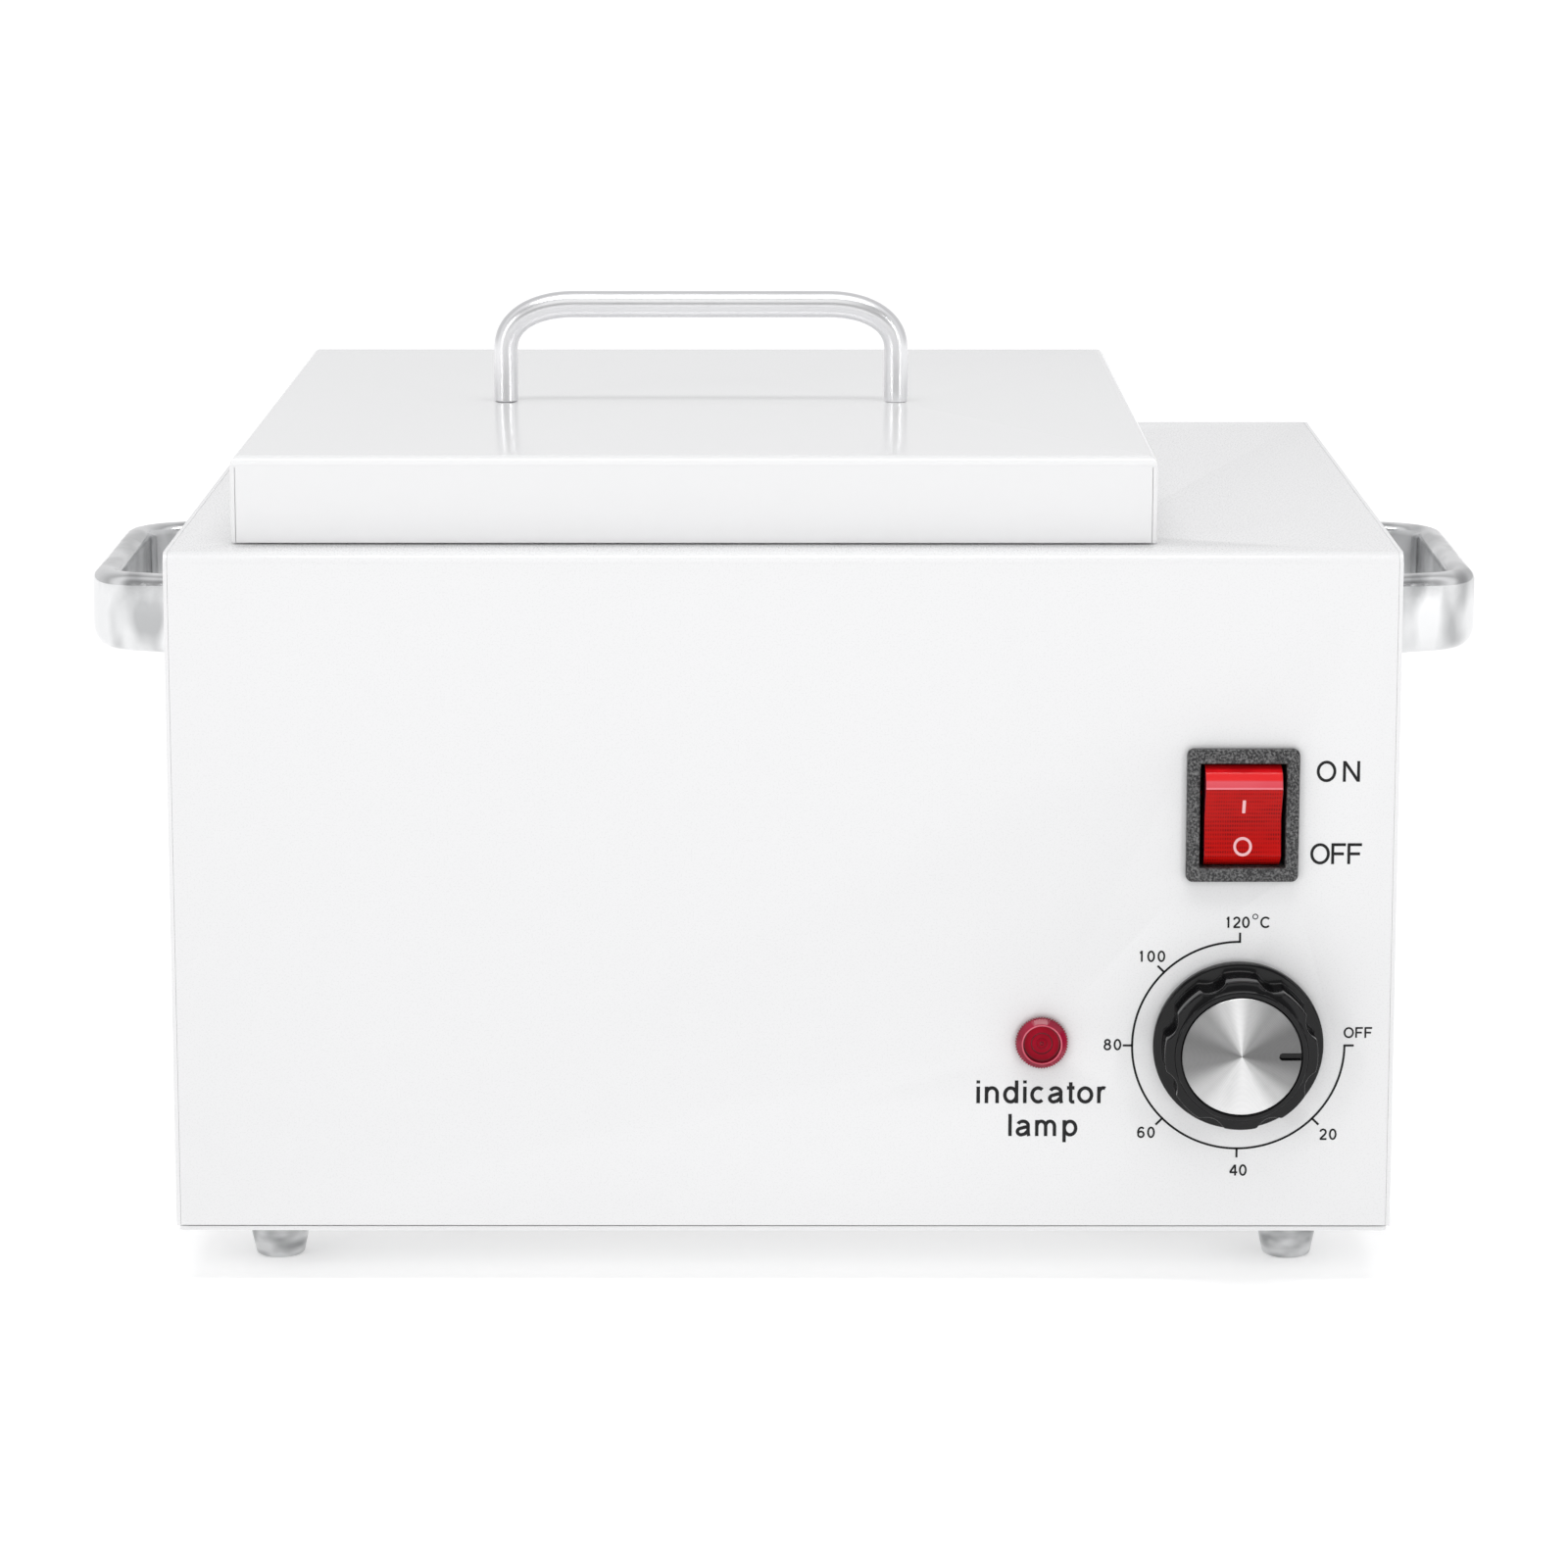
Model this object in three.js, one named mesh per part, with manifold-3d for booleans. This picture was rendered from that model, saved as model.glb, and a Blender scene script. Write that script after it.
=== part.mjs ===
// Dry block heater: a heated aluminium tube block in a folded steel casing, with a
// lift-off lid, a dial thermostat, a rocker power switch and an indicator lamp.
//
// Millimetres, +Z up, +X to the right of someone facing the control panel, +Y to the back.
// Inside this file y = 0 is the front face of the casing; the whole group is then moved
// along Y so that the origin is under the middle of the bounding box, on the bench.
import * as THREE from 'three';
import { mergeVertices } from 'three/addons/utils/BufferGeometryUtils.js';
import Module from 'manifold-3d';

const wasm = await Module();
wasm.setup();

// ---------------------------------------------------------------- driving dimensions
const GAP = 0.3;              // clearance between pieces that touch
const CASE_W = 281;           // casing width
const CASE_D = 240;           // casing depth
const CASE_BOTTOM = 12.5;     // underside of the base plate
const CASE_TOP = 171.2;       // top face
const SHEET = 1.2;            // casing and lid sheet thickness
const SIDE_SHEET = 0.9;       // side panel thickness
const BEND = 2.8;             // outer bend radius of the folded casing
const HALF_W = CASE_W / 2;

const LID_X0 = -126.4, LID_X1 = 85.6;
const LID_Y0 = 13.1, LID_Y1 = 233.5;
const LID_Z0 = CASE_TOP + GAP, LID_TOP = 191.5;
const LID_BEND = 2.5;
const WELL_CX = (LID_X0 + LID_X1) / 2;   // the well and the block sit under the lid
const WELL_CY = (LID_Y0 + LID_Y1) / 2;
const WELL_W = 188, WELL_D = 196;        // cut-out in the casing top

const LID_HANDLE_PITCH = 96, LID_HANDLE_Y = 116.5;
const LID_HANDLE_ROD = 3.2;              // rod radius
const LID_HANDLE_AXIS_Z = LID_TOP + 24;  // height of the grip's centre line

const BLOCK_W = 184, BLOCK_D = 192, BLOCK_Z0 = 66, BLOCK_Z1 = 147;
const TUBE_R = 14.75, TUBE_DEPTH = 73;   // wells for 50 ml tubes
const TUBE_PITCH_X = 44, TUBE_PITCH_Y = 60, TUBE_COLS = 4, TUBE_ROWS = 3;

const CARRY_Y0 = 71.2, CARRY_Y1 = 174.2; // span of a carry handle along the side
const CARRY_Z0 = 135.3, CARRY_Z1 = 154.3;
const CARRY_OUT = 168;                   // outer face of the grip
const CARRY_T = 6.6;                     // thickness of the cast strap

const SWITCH_X = 104.9, SWITCH_Z = 110.9;
const SWITCH_W = 25.7, SWITCH_H = 30.9;
const SWITCH_OPEN_W = 19.6, SWITCH_OPEN_H = 24.2;
const ROCKER_PIVOT_Y = 3.0;
const ROCKER_HALF_TILT = 11;             // degrees each side of level
const CONTACT_HALF_TILT = 7;
const CONTACT_PIVOT_Y = 16.4;

const DIAL_X = 104.6, DIAL_Z = 57.2;
const KNOB_SKIRT_R = 19.6, KNOB_FRONT = -13.2;
const KNOB_LOBE_R = 17.6, KNOB_SCALLOP_R = 16.2, KNOB_LOBES = 8;

const LAMP_X = 59.5, LAMP_Z = 57.5, LAMP_R = 6.08;

const INLET_X = 95, INLET_Z = 46;
const INLET_BACK = CASE_D + 2.4;

const FOOT_X = 119, FOOT_Y0 = 26, FOOT_Y1 = 214;

const Y_SHIFT = -(INLET_BACK + KNOB_FRONT) / 2;

// ---------------------------------------------------------------- helpers
function toSolid(geometry) {
  const g = geometry.index ? geometry.toNonIndexed() : geometry.clone();
  for (const key of Object.keys(g.attributes)) if (key !== 'position') g.deleteAttribute(key);
  const merged = mergeVertices(g, 1e-4);
  const p = merged.attributes.position.array;
  const idx = merged.index.array;
  const tri = [];
  let volume = 0;
  for (let i = 0; i < idx.length; i += 3) {
    const a = idx[i], b = idx[i + 1], c = idx[i + 2];
    if (a === b || b === c || a === c) continue;
    tri.push(a, b, c);
    const [ax, ay, az] = [p[3 * a], p[3 * a + 1], p[3 * a + 2]];
    const [bx, by, bz] = [p[3 * b], p[3 * b + 1], p[3 * b + 2]];
    const [cx, cy, cz] = [p[3 * c], p[3 * c + 1], p[3 * c + 2]];
    volume += ax * (by * cz - bz * cy) + ay * (bz * cx - bx * cz) + az * (bx * cy - by * cx);
  }
  if (volume < 0) for (let i = 0; i < tri.length; i += 3) [tri[i], tri[i + 1]] = [tri[i + 1], tri[i]];
  return new wasm.Manifold(new wasm.Mesh({
    numProp: 3,
    vertProperties: new Float32Array(p),
    triVerts: new Uint32Array(tri),
  }));
}

// moves every vertex of a geometry with f(x, y, z) -> [x, y, z]
function remap(geometry, f) {
  const a = geometry.attributes.position;
  for (let i = 0; i < a.count; i++) a.setXYZ(i, ...f(a.getX(i), a.getY(i), a.getZ(i)));
  return geometry;
}

const box = (x0, x1, y0, y1, z0, z1) =>
  toSolid(new THREE.BoxGeometry(x1 - x0, y1 - y0, z1 - z0)
    .translate((x0 + x1) / 2, (y0 + y1) / 2, (z0 + z1) / 2));

const shapeOf = (points) => new THREE.Shape(points.map(([x, y]) => new THREE.Vector2(x, y)));

// outline of a rectangle with rounded corners, as a list of points
function roundRect(cx, cy, w, h, r, seg = 3) {
  const out = [];
  const corners = [[1, 1, 0], [-1, 1, 90], [-1, -1, 180], [1, -1, 270]];
  for (const [sx, sy, start] of corners)
    for (let i = 0; i <= seg; i++) {
      const t = THREE.MathUtils.degToRad(start + (90 * i) / seg);
      out.push([cx + sx * (w / 2 - r) + r * Math.cos(t), cy + sy * (h / 2 - r) + r * Math.sin(t)]);
    }
  return out;
}

const flat = (points, depth) =>
  new THREE.ExtrudeGeometry(shapeOf(points), { depth, bevelEnabled: false, curveSegments: 1 });

// prisms along each axis; the outline is given in the two other coordinates
const prismZ = (points, z0, z1) => toSolid(flat(points, z1 - z0).translate(0, 0, z0));
const prismY = (points, y0, y1) => toSolid(remap(flat(points, y1 - y0), (x, y, z) => [x, y0 + z, y]));
const prismX = (points, x0, x1) => toSolid(remap(flat(points, x1 - x0), (x, y, z) => [x0 + z, x, y]));

// turned solids; profile is a list of [radius, height] that starts and ends on the axis
const turned = (profile, seg) =>
  new THREE.LatheGeometry(profile.map(([r, h]) => new THREE.Vector2(r, h)), seg);
const latheZ = (profile, x, y, seg = 24) =>
  toSolid(remap(turned(profile, seg), (a, b, c) => [x + a, y + c, b]));
const latheY = (profile, x, z, seg = 24) =>
  toSolid(remap(turned(profile, seg), (a, b, c) => [x + a, b, z + c]));
const latheX = (profile, y, z, seg = 24) =>
  toSolid(remap(turned(profile, seg), (a, b, c) => [b, y + a, z + c]));

const discProfile = (r, h0, h1) => [[0, h0], [r, h0], [r, h1], [0, h1]];
const cylZ = (r, z0, z1, x, y, seg = 20) => latheZ(discProfile(r, z0, z1), x, y, seg);
const cylY = (r, y0, y1, x, z, seg = 20) => latheY(discProfile(r, y0, y1), x, z, seg);
const cylX = (r, x0, x1, y, z, seg = 20) => latheX(discProfile(r, x0, x1), y, z, seg);

const cut = (solid, ...tools) => tools.reduce((s, t) => s.subtract(t), solid);
const join = (solid, ...others) => others.reduce((s, t) => s.add(t), solid);

// a rod of round section along a path of straight runs joined by smooth corners
function rod(points, r, sides, corner, steps) {
  const path = new THREE.CurvePath();
  const v = points.map((p) => new THREE.Vector3(...p));
  let from = v[0].clone();
  for (let i = 1; i < v.length - 1; i++) {
    const back = v[i - 1].clone().sub(v[i]), on = v[i + 1].clone().sub(v[i]);
    const a = v[i].clone().addScaledVector(back.clone().normalize(), Math.min(corner, back.length() * 0.49));
    const b = v[i].clone().addScaledVector(on.clone().normalize(), Math.min(corner, on.length() * 0.49));
    path.add(new THREE.LineCurve3(from, a));
    path.add(new THREE.QuadraticBezierCurve3(a, v[i].clone(), b));
    from = b.clone();
  }
  path.add(new THREE.LineCurve3(from, v[v.length - 1].clone()));
  const circle = [];
  for (let i = 0; i < sides; i++) {
    const t = (2 * Math.PI * (i + 0.5)) / sides;
    circle.push([r * Math.cos(t), r * Math.sin(t)]);
  }
  return toSolid(new THREE.ExtrudeGeometry(shapeOf(circle), { extrudePath: path, steps, bevelEnabled: false }));
}

const model = new THREE.Group();
model.position.y = Y_SHIFT;

function part(name, solid, color, roughness, metalness) {
  const m = solid.getMesh();
  const g = new THREE.BufferGeometry();
  const position = new Float32Array(m.numVert * 3);
  for (let i = 0; i < m.numVert; i++)
    for (let k = 0; k < 3; k++) position[3 * i + k] = m.vertProperties[m.numProp * i + k];
  g.setAttribute('position', new THREE.BufferAttribute(position, 3));
  g.setIndex(new THREE.BufferAttribute(new Uint32Array(m.triVerts), 1));
  g.computeVertexNormals();
  const mesh = new THREE.Mesh(g, new THREE.MeshStandardMaterial({ color, roughness, metalness }));
  mesh.name = name;
  model.add(mesh);
  return mesh;
}

const WHITE = 0xf0f0f1, CHROME = 0xd8dadd, STEEL = 0xb9bcc0, ALU = 0xc9cccf;
const BLACK = 0x17181a, DARK = 0x3a3b3d, RED = 0xc3101c, LAMP_RED = 0xb3122a;

// ---------------------------------------------------------------- casing
const deg = THREE.MathUtils.degToRad;

// inverted U in the Y-Z plane: front wall, folded top, back wall
function casingProfile(inset, bottom, radius) {
  const out = [[inset, bottom]];
  const top = CASE_TOP - inset;
  for (let i = 0; i <= 4; i++) {
    const t = deg(180 - (90 * i) / 4);
    out.push([inset + radius + radius * Math.cos(t), top - radius + radius * Math.sin(t)]);
  }
  for (let i = 0; i <= 4; i++) {
    const t = deg(90 - (90 * i) / 4);
    out.push([CASE_D - inset - radius + radius * Math.cos(t), top - radius + radius * Math.sin(t)]);
  }
  out.push([CASE_D - inset, bottom]);
  return out;
}
const WALL_BOTTOM = CASE_BOTTOM + 1.0 + GAP;
const SHELL_X = HALF_W - SIDE_SHEET - GAP;
const outerSkin = casingProfile(0, WALL_BOTTOM, BEND);
const innerSkin = casingProfile(SHEET, WALL_BOTTOM, BEND - SHEET).reverse();
let casing = prismX([...outerSkin, ...innerSkin], -SHELL_X, SHELL_X);
casing = cut(
  casing,
  prismZ(roundRect(WELL_CX, WELL_CY, WELL_W, WELL_D, 8, 3), CASE_TOP - 5, CASE_TOP + 5),
  box(SWITCH_X - 11.3, SWITCH_X + 11.3, -3, 4, SWITCH_Z - 14.3, SWITCH_Z + 14.3),
  cylY(5.0, -3, 4, LAMP_X, LAMP_Z, 20),
  cylY(5.0, -3, 4, DIAL_X, DIAL_Z, 20),
  cylY(1.9, -3, 4, DIAL_X - 12, DIAL_Z, 10),
  cylY(1.9, -3, 4, DIAL_X + 12, DIAL_Z, 10),
  prismY(roundRect(INLET_X, INLET_Z, 27.6, 20.6, 1.5, 2), CASE_D - 4, CASE_D + 3),
  cylY(1.7, CASE_D - 4, CASE_D + 3, INLET_X - 20, INLET_Z, 10),
  cylY(1.7, CASE_D - 4, CASE_D + 3, INLET_X + 20, INLET_Z, 10),
);
for (let i = 0; i < 7; i++)   // cooling slots behind the control compartment
  casing = cut(casing, prismY(roundRect(86 + 7 * i, 110, 3, 34, 1.4, 1), CASE_D - 4, CASE_D + 3));
part('casing_shell', casing, WHITE, 0.28, 0.0);

for (const [name, s] of [['left_side_panel', -1], ['right_side_panel', 1]]) {
  const a = s * (HALF_W - SIDE_SHEET), b = s * HALF_W;
  let panel = prismX(casingProfile(0, WALL_BOTTOM, BEND), Math.min(a, b), Math.max(a, b));
  const f0 = s * (HALF_W - SIDE_SHEET - 11), f1 = s * (HALF_W - 0.4);
  panel = join(panel, box(Math.min(f0, f1), Math.max(f0, f1), SHEET + GAP, CASE_D - SHEET - GAP, WALL_BOTTOM, WALL_BOTTOM + 0.9));
  // the folded casing ends where the side panel's flange starts, so the flange stays inside it
  for (const y of [CARRY_Y0 + 4.1, CARRY_Y1 - 4.1])
    panel = cut(panel, cylX(1.9, Math.min(a, b) - 2, Math.max(a, b) + 2, y, (CARRY_Z0 + CARRY_Z1) / 2, 12));
  part(name, panel, WHITE, 0.28, 0.0);
}

let base = prismZ(roundRect(0, CASE_D / 2, CASE_W - 1.0, CASE_D - 0.6, 1.5, 2), CASE_BOTTOM, CASE_BOTTOM + 1.0);
for (const x of [-FOOT_X, FOOT_X]) for (const y of [FOOT_Y0, FOOT_Y1])
  base = cut(base, cylZ(2.3, CASE_BOTTOM - 2, CASE_BOTTOM + 3, x, y, 12));
for (let i = 0; i < 5; i++)
  for (const y of [62, 178])
    base = cut(base, prismZ(roundRect(82 + 9 * i, y, 3.2, 30, 1.5, 1), CASE_BOTTOM - 2, CASE_BOTTOM + 3));
part('base_plate', base, WHITE, 0.4, 0.0);

// ---------------------------------------------------------------- feet
const feet = [['front_left', -FOOT_X, FOOT_Y0], ['front_right', FOOT_X, FOOT_Y0],
  ['rear_left', -FOOT_X, FOOT_Y1], ['rear_right', FOOT_X, FOOT_Y1]];
for (const [where, x, y] of feet) {
  const top = CASE_BOTTOM - GAP;
  const cup = latheZ([[0, 0], [4.8, 0], [5.6, 0.6], [6.0, 1.6], [8.2, top], [0, top]], x, y, 20);
  part(`foot_${where}`, cut(cup, cylZ(3.3, -1, 5, x, y, 12), cylZ(2.1, -1, top + 1, x, y, 10)), CHROME, 0.12, 1.0);
  part(`foot_screw_${where}`, latheZ([[0, 2.6], [3.0, 2.6], [3.0, 4.7], [1.8, 4.7], [1.8, 20], [0, 20]], x, y, 10), STEEL, 0.3, 1.0);
}

// ---------------------------------------------------------------- carry handles
// closed outline of a strap that follows a centre line with a given half thickness
function strap(line, half) {
  const left = [], right = [];
  for (let i = 0; i < line.length; i++) {
    const a = line[Math.max(0, i - 1)], b = line[i], c = line[Math.min(line.length - 1, i + 1)];
    const d1 = new THREE.Vector2(b[0] - a[0], b[1] - a[1]), d2 = new THREE.Vector2(c[0] - b[0], c[1] - b[1]);
    if (d1.lengthSq() === 0) d1.copy(d2);
    if (d2.lengthSq() === 0) d2.copy(d1);
    d1.normalize(); d2.normalize();
    const n = new THREE.Vector2(-(d1.y + d2.y), d1.x + d2.x).normalize();
    const k = half / Math.max(0.5, n.dot(new THREE.Vector2(-d1.y, d1.x)));
    left.push([b[0] + n.x * k, b[1] + n.y * k]);
    right.push([b[0] - n.x * k, b[1] - n.y * k]);
  }
  return [...left, ...right.reverse()];
}
// rounds the inner corners of a polyline
function fillet(points, radius, seg) {
  const out = [points[0]];
  for (let i = 1; i < points.length - 1; i++) {
    const p = new THREE.Vector2(...points[i]);
    const a = new THREE.Vector2(...points[i - 1]).sub(p), b = new THREE.Vector2(...points[i + 1]).sub(p);
    const half = a.angleTo(b) / 2;
    const t = Math.min(radius / Math.tan(half), a.length() * 0.49, b.length() * 0.49);
    a.normalize().multiplyScalar(t).add(p); b.normalize().multiplyScalar(t).add(p);
    for (let k = 0; k <= seg; k++) {
      const s = k / seg;
      out.push([(1 - s) ** 2 * a.x + 2 * s * (1 - s) * p.x + s * s * b.x,
        (1 - s) ** 2 * a.y + 2 * s * (1 - s) * p.y + s * s * b.y]);
    }
  }
  out.push(points[points.length - 1]);
  return out;
}
const CARRY_MID = (CARRY_Y0 + CARRY_Y1) / 2, CARRY_MZ = (CARRY_Z0 + CARRY_Z1) / 2;
for (const [side, s] of [['left', -1], ['right', 1]]) {
  const half = CARRY_T / 2, grip = CARRY_OUT - half;
  const line = fillet([[HALF_W - 5, CARRY_Y0 + 2.0], [grip, CARRY_Y0 + 12.0], [grip, CARRY_Y1 - 12.0], [HALF_W - 5, CARRY_Y1 - 2.0]], 13, 5);
  const g = new THREE.ExtrudeGeometry(shapeOf(strap(line, half - 1.2)), {
    depth: CARRY_Z1 - CARRY_Z0 - 2.8, bevelEnabled: true, bevelThickness: 1.4, bevelSize: 1.2, bevelSegments: 1, curveSegments: 1,
  }).translate(0, 0, CARRY_Z0 + 1.4);
  let handle = toSolid(remap(g, (x, y, z) => [s * x, y, z]));
  const w0 = s * (HALF_W + GAP), w1 = s * (CARRY_OUT + 20);
  handle = handle.intersect(box(Math.min(w0, w1), Math.max(w0, w1), 0, CASE_D, 100, 180));
  for (const y of [CARRY_Y0 + 4.1, CARRY_Y1 - 4.1])
    handle = cut(handle, cylX(1.75, s > 0 ? HALF_W - 2 : -HALF_W - 5.5, s > 0 ? HALF_W + 5.5 : -HALF_W + 2, y, CARRY_MZ, 10));
  part(`${side}_carry_handle`, handle, CHROME, 0.15, 1.0);
  for (const [end, y] of [['front', CARRY_Y0 + 4.1], ['rear', CARRY_Y1 - 4.1]]) {
    const inner = HALF_W - SIDE_SHEET - GAP;
    const profile = [[0, s * (inner - 2.6)], [3.4, s * (inner - 2.6)], [3.4, s * inner], [1.4, s * inner], [1.4, s * (HALF_W + 5)], [0, s * (HALF_W + 5)]];
    part(`${side}_carry_handle_screw_${end}`, latheX(profile, y, CARRY_MZ, 12), STEEL, 0.3, 1.0);
  }
}

// ---------------------------------------------------------------- well, block and heater
const collarTop = CASE_TOP + GAP + 0.8;
const collarOut = prismZ(roundRect(WELL_CX, WELL_CY, WELL_W - 1.0, WELL_D - 1.0, 7.5, 3), 141, collarTop);
const collarFlange = prismZ(roundRect(WELL_CX, WELL_CY, 206, 214, 6, 3), CASE_TOP + GAP, collarTop);
const collarHole = prismZ(roundRect(WELL_CX, WELL_CY, WELL_W - 2.6, WELL_D - 2.6, 6.7, 3), 130, 180);
part('well_collar', cut(join(collarOut, collarFlange), collarHole), STEEL, 0.25, 1.0);

const bx0 = WELL_CX - BLOCK_W / 2, bx1 = WELL_CX + BLOCK_W / 2;
let block = prismZ(roundRect(WELL_CX, WELL_CY, BLOCK_W, BLOCK_D, 6, 3), BLOCK_Z0, BLOCK_Z1);
const wells = [];
for (let i = 0; i < TUBE_COLS; i++)
  for (let j = 0; j < TUBE_ROWS; j++) {
    const x = WELL_CX + TUBE_PITCH_X * (i - (TUBE_COLS - 1) / 2);
    const y = WELL_CY + TUBE_PITCH_Y * (j - (TUBE_ROWS - 1) / 2);
    wells.push([x, y]);
    block = cut(block, cylZ(TUBE_R, BLOCK_Z1 - TUBE_DEPTH, BLOCK_Z1 + 1, x, y, 20));
  }
const BULB_Y = WELL_CY + TUBE_PITCH_Y / 2, BULB_Z = 84;
block = cut(block, cylX(3.5, bx1 - 92, bx1 + 5, BULB_Y, BULB_Z, 14));
part('heating_block', block, ALU, 0.35, 1.0);

const jacketX0 = bx0 - 12, jacketX1 = bx1 + 7, jacketY0 = WELL_CY - BLOCK_D / 2 - 12, jacketY1 = WELL_CY + BLOCK_D / 2 + 12;
const jacketOut = prismZ(roundRect((jacketX0 + jacketX1) / 2, (jacketY0 + jacketY1) / 2, jacketX1 - jacketX0, jacketY1 - jacketY0, 10, 3), 69, 140.5);
const jacketIn = prismZ(roundRect(WELL_CX, WELL_CY, BLOCK_W + 1.4, BLOCK_D + 1.4, 6.5, 3), 60, 150);
part('insulation_jacket', cut(jacketOut, jacketIn, cylX(4.5, bx1 - 2, bx1 + 12, BULB_Y, BULB_Z, 12)), 0xd9d2bd, 0.95, 0.0);

const HEATER_TOP = BLOCK_Z0 - GAP;
part('heater_plate', join(
  prismZ(roundRect(WELL_CX, WELL_CY, 118, 150, 4, 2), HEATER_TOP - 4, HEATER_TOP),
  box(WELL_CX + 50, WELL_CX + 74, WELL_CY - 14, WELL_CY - 8, HEATER_TOP - 2.6, HEATER_TOP - 1.6)), 0x8d7f62, 0.6, 0.0);
const clampTop = HEATER_TOP - 4 - GAP;
part('heater_clamp_plate', cut(
  prismZ(roundRect(WELL_CX, WELL_CY, 124, 156, 4, 2), clampTop - 2.5, clampTop),
  cylZ(3, clampTop - 6, clampTop + 4, WELL_CX + 30, WELL_CY + 40, 10)), STEEL, 0.4, 1.0);

for (const [where, sx, sy] of [['front_left', -1, -1], ['front_right', 1, -1], ['rear_left', -1, 1], ['rear_right', 1, 1]])
  part(`block_standoff_${where}`, cylZ(5, CASE_BOTTOM + 1.0 + GAP, BLOCK_Z0 - GAP, WELL_CX + sx * 78, WELL_CY + sy * 80, 12), 0xe9e4d6, 0.5, 0.0);

// over-temperature cut-out under the clamp plate
const cutTop = clampTop - 2.5 - GAP;
part('thermal_cutout', join(
  cylZ(8, cutTop - 9, cutTop, WELL_CX, WELL_CY + 20, 16),
  box(WELL_CX - 12, WELL_CX + 12, WELL_CY + 16.9, WELL_CY + 23.1, cutTop - 7.5, cutTop - 6.7)), DARK, 0.5, 0.0);

// ---------------------------------------------------------------- thermostat, shaft and knob
const tFront = SHEET + GAP;
let thermostat = join(
  box(DIAL_X - 19, DIAL_X + 19, tFront, tFront + 1.2, DIAL_Z - 17, DIAL_Z + 17),
  prismY(roundRect(DIAL_X, DIAL_Z, 36, 44, 3, 2), tFront + 1.0, tFront + 26),
  box(DIAL_X - 10, DIAL_X - 4, tFront + 25, tFront + 34, DIAL_Z + 8, DIAL_Z + 8.8),
  box(DIAL_X + 4, DIAL_X + 10, tFront + 25, tFront + 34, DIAL_Z + 8, DIAL_Z + 8.8));
thermostat = cut(thermostat,
  cylY(3.4, -2, 12, DIAL_X, DIAL_Z, 20),
  cylY(1.9, -2, tFront + 8, DIAL_X - 12, DIAL_Z, 10),
  cylY(1.9, -2, tFront + 8, DIAL_X + 12, DIAL_Z, 10));
part('thermostat_body', thermostat, 0x4c4a46, 0.5, 0.2);
for (const [side, s] of [['left', -1], ['right', 1]])
  part(`thermostat_screw_${side}`, latheY([[0, -1.9], [2.8, -1.9], [2.8, -GAP], [1.5, -GAP], [1.5, tFront + 7], [0, tFront + 7]], DIAL_X + 12 * s, DIAL_Z, 12), STEEL, 0.3, 1.0);

// liquid-filled sensing bulb in its bore, with the capillary back to the thermostat
part('sensor_bulb_and_capillary', join(
  cylX(3.1, bx1 - 90, bx1 + 3, BULB_Y, BULB_Z, 12),
  rod([[bx1 + 1, BULB_Y, BULB_Z], [jacketX1 + 12, BULB_Y, BULB_Z], [jacketX1 + 14, BULB_Y - 40, BULB_Z - 4], [DIAL_X - 9, 60, DIAL_Z + 16], [DIAL_X - 9, tFront + 26 + GAP, DIAL_Z + 16]], 0.9, 6, 12, 18)), 0xb87a4b, 0.35, 1.0);

const shaft = cut(cylY(3.0, -10.9, 10, DIAL_X, DIAL_Z, 14), box(DIAL_X - 4, DIAL_X + 4, -12, -1.5, DIAL_Z + 2.2, DIAL_Z + 5));
part('thermostat_shaft', shaft, 0xc9b36c, 0.35, 1.0);

function lobed(rLobe, rScallop, count, perLobe) {
  const out = [];
  for (let i = 0; i < count * perLobe; i++) {
    const t = (2 * Math.PI * i) / (count * perLobe);
    const c = 0.5 + 0.5 * Math.cos(count * t);
    const r = rScallop + (rLobe - rScallop) * Math.pow(c, 0.7);
    out.push([DIAL_X + r * Math.cos(t), DIAL_Z + r * Math.sin(t)]);
  }
  return out;
}
const skirt = latheY([[0, -0.8], [KNOB_SKIRT_R, -0.8], [KNOB_SKIRT_R, -2.6], [KNOB_SKIRT_R - 0.5, -3.2], [0, -3.4]], DIAL_X, DIAL_Z, 32);
const crown = prismY(lobed(KNOB_LOBE_R, KNOB_SCALLOP_R, KNOB_LOBES, 5), -12.4, -3.0);
const ringTop = latheY([[0, -12.2], [15.9, -12.2], [15.1, -13.0], [13.75, -13.0], [13.75, -12.3], [0, -12.3]], DIAL_X, DIAL_Z, 32);
let knob = join(skirt, crown, ringTop);
knob = cut(knob,
  cut(cylY(15.2, -8, 1, DIAL_X, DIAL_Z, 24), cylY(6, -8.5, 1.5, DIAL_X, DIAL_Z, 12)),
  cut(cylY(3.35, -11.3, 1, DIAL_X, DIAL_Z, 14), box(DIAL_X - 4, DIAL_X + 4, -12, -1.8, DIAL_Z + 2.5, DIAL_Z + 5)));
part('knob_body', knob, BLACK, 0.2, 0.0);

// spun cap with the index slot, which points at the off mark
let cap = cylY(13.45, KNOB_FRONT, -12.7, DIAL_X, DIAL_Z, 32);
cap = cut(cap, prismY(roundRect(DIAL_X + 12, DIAL_Z, 6.8, 1.4, 0.69, 3), KNOB_FRONT - 1, -12));
part('knob_cap', cap, 0xc8cacc, 0.25, 1.0);

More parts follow.
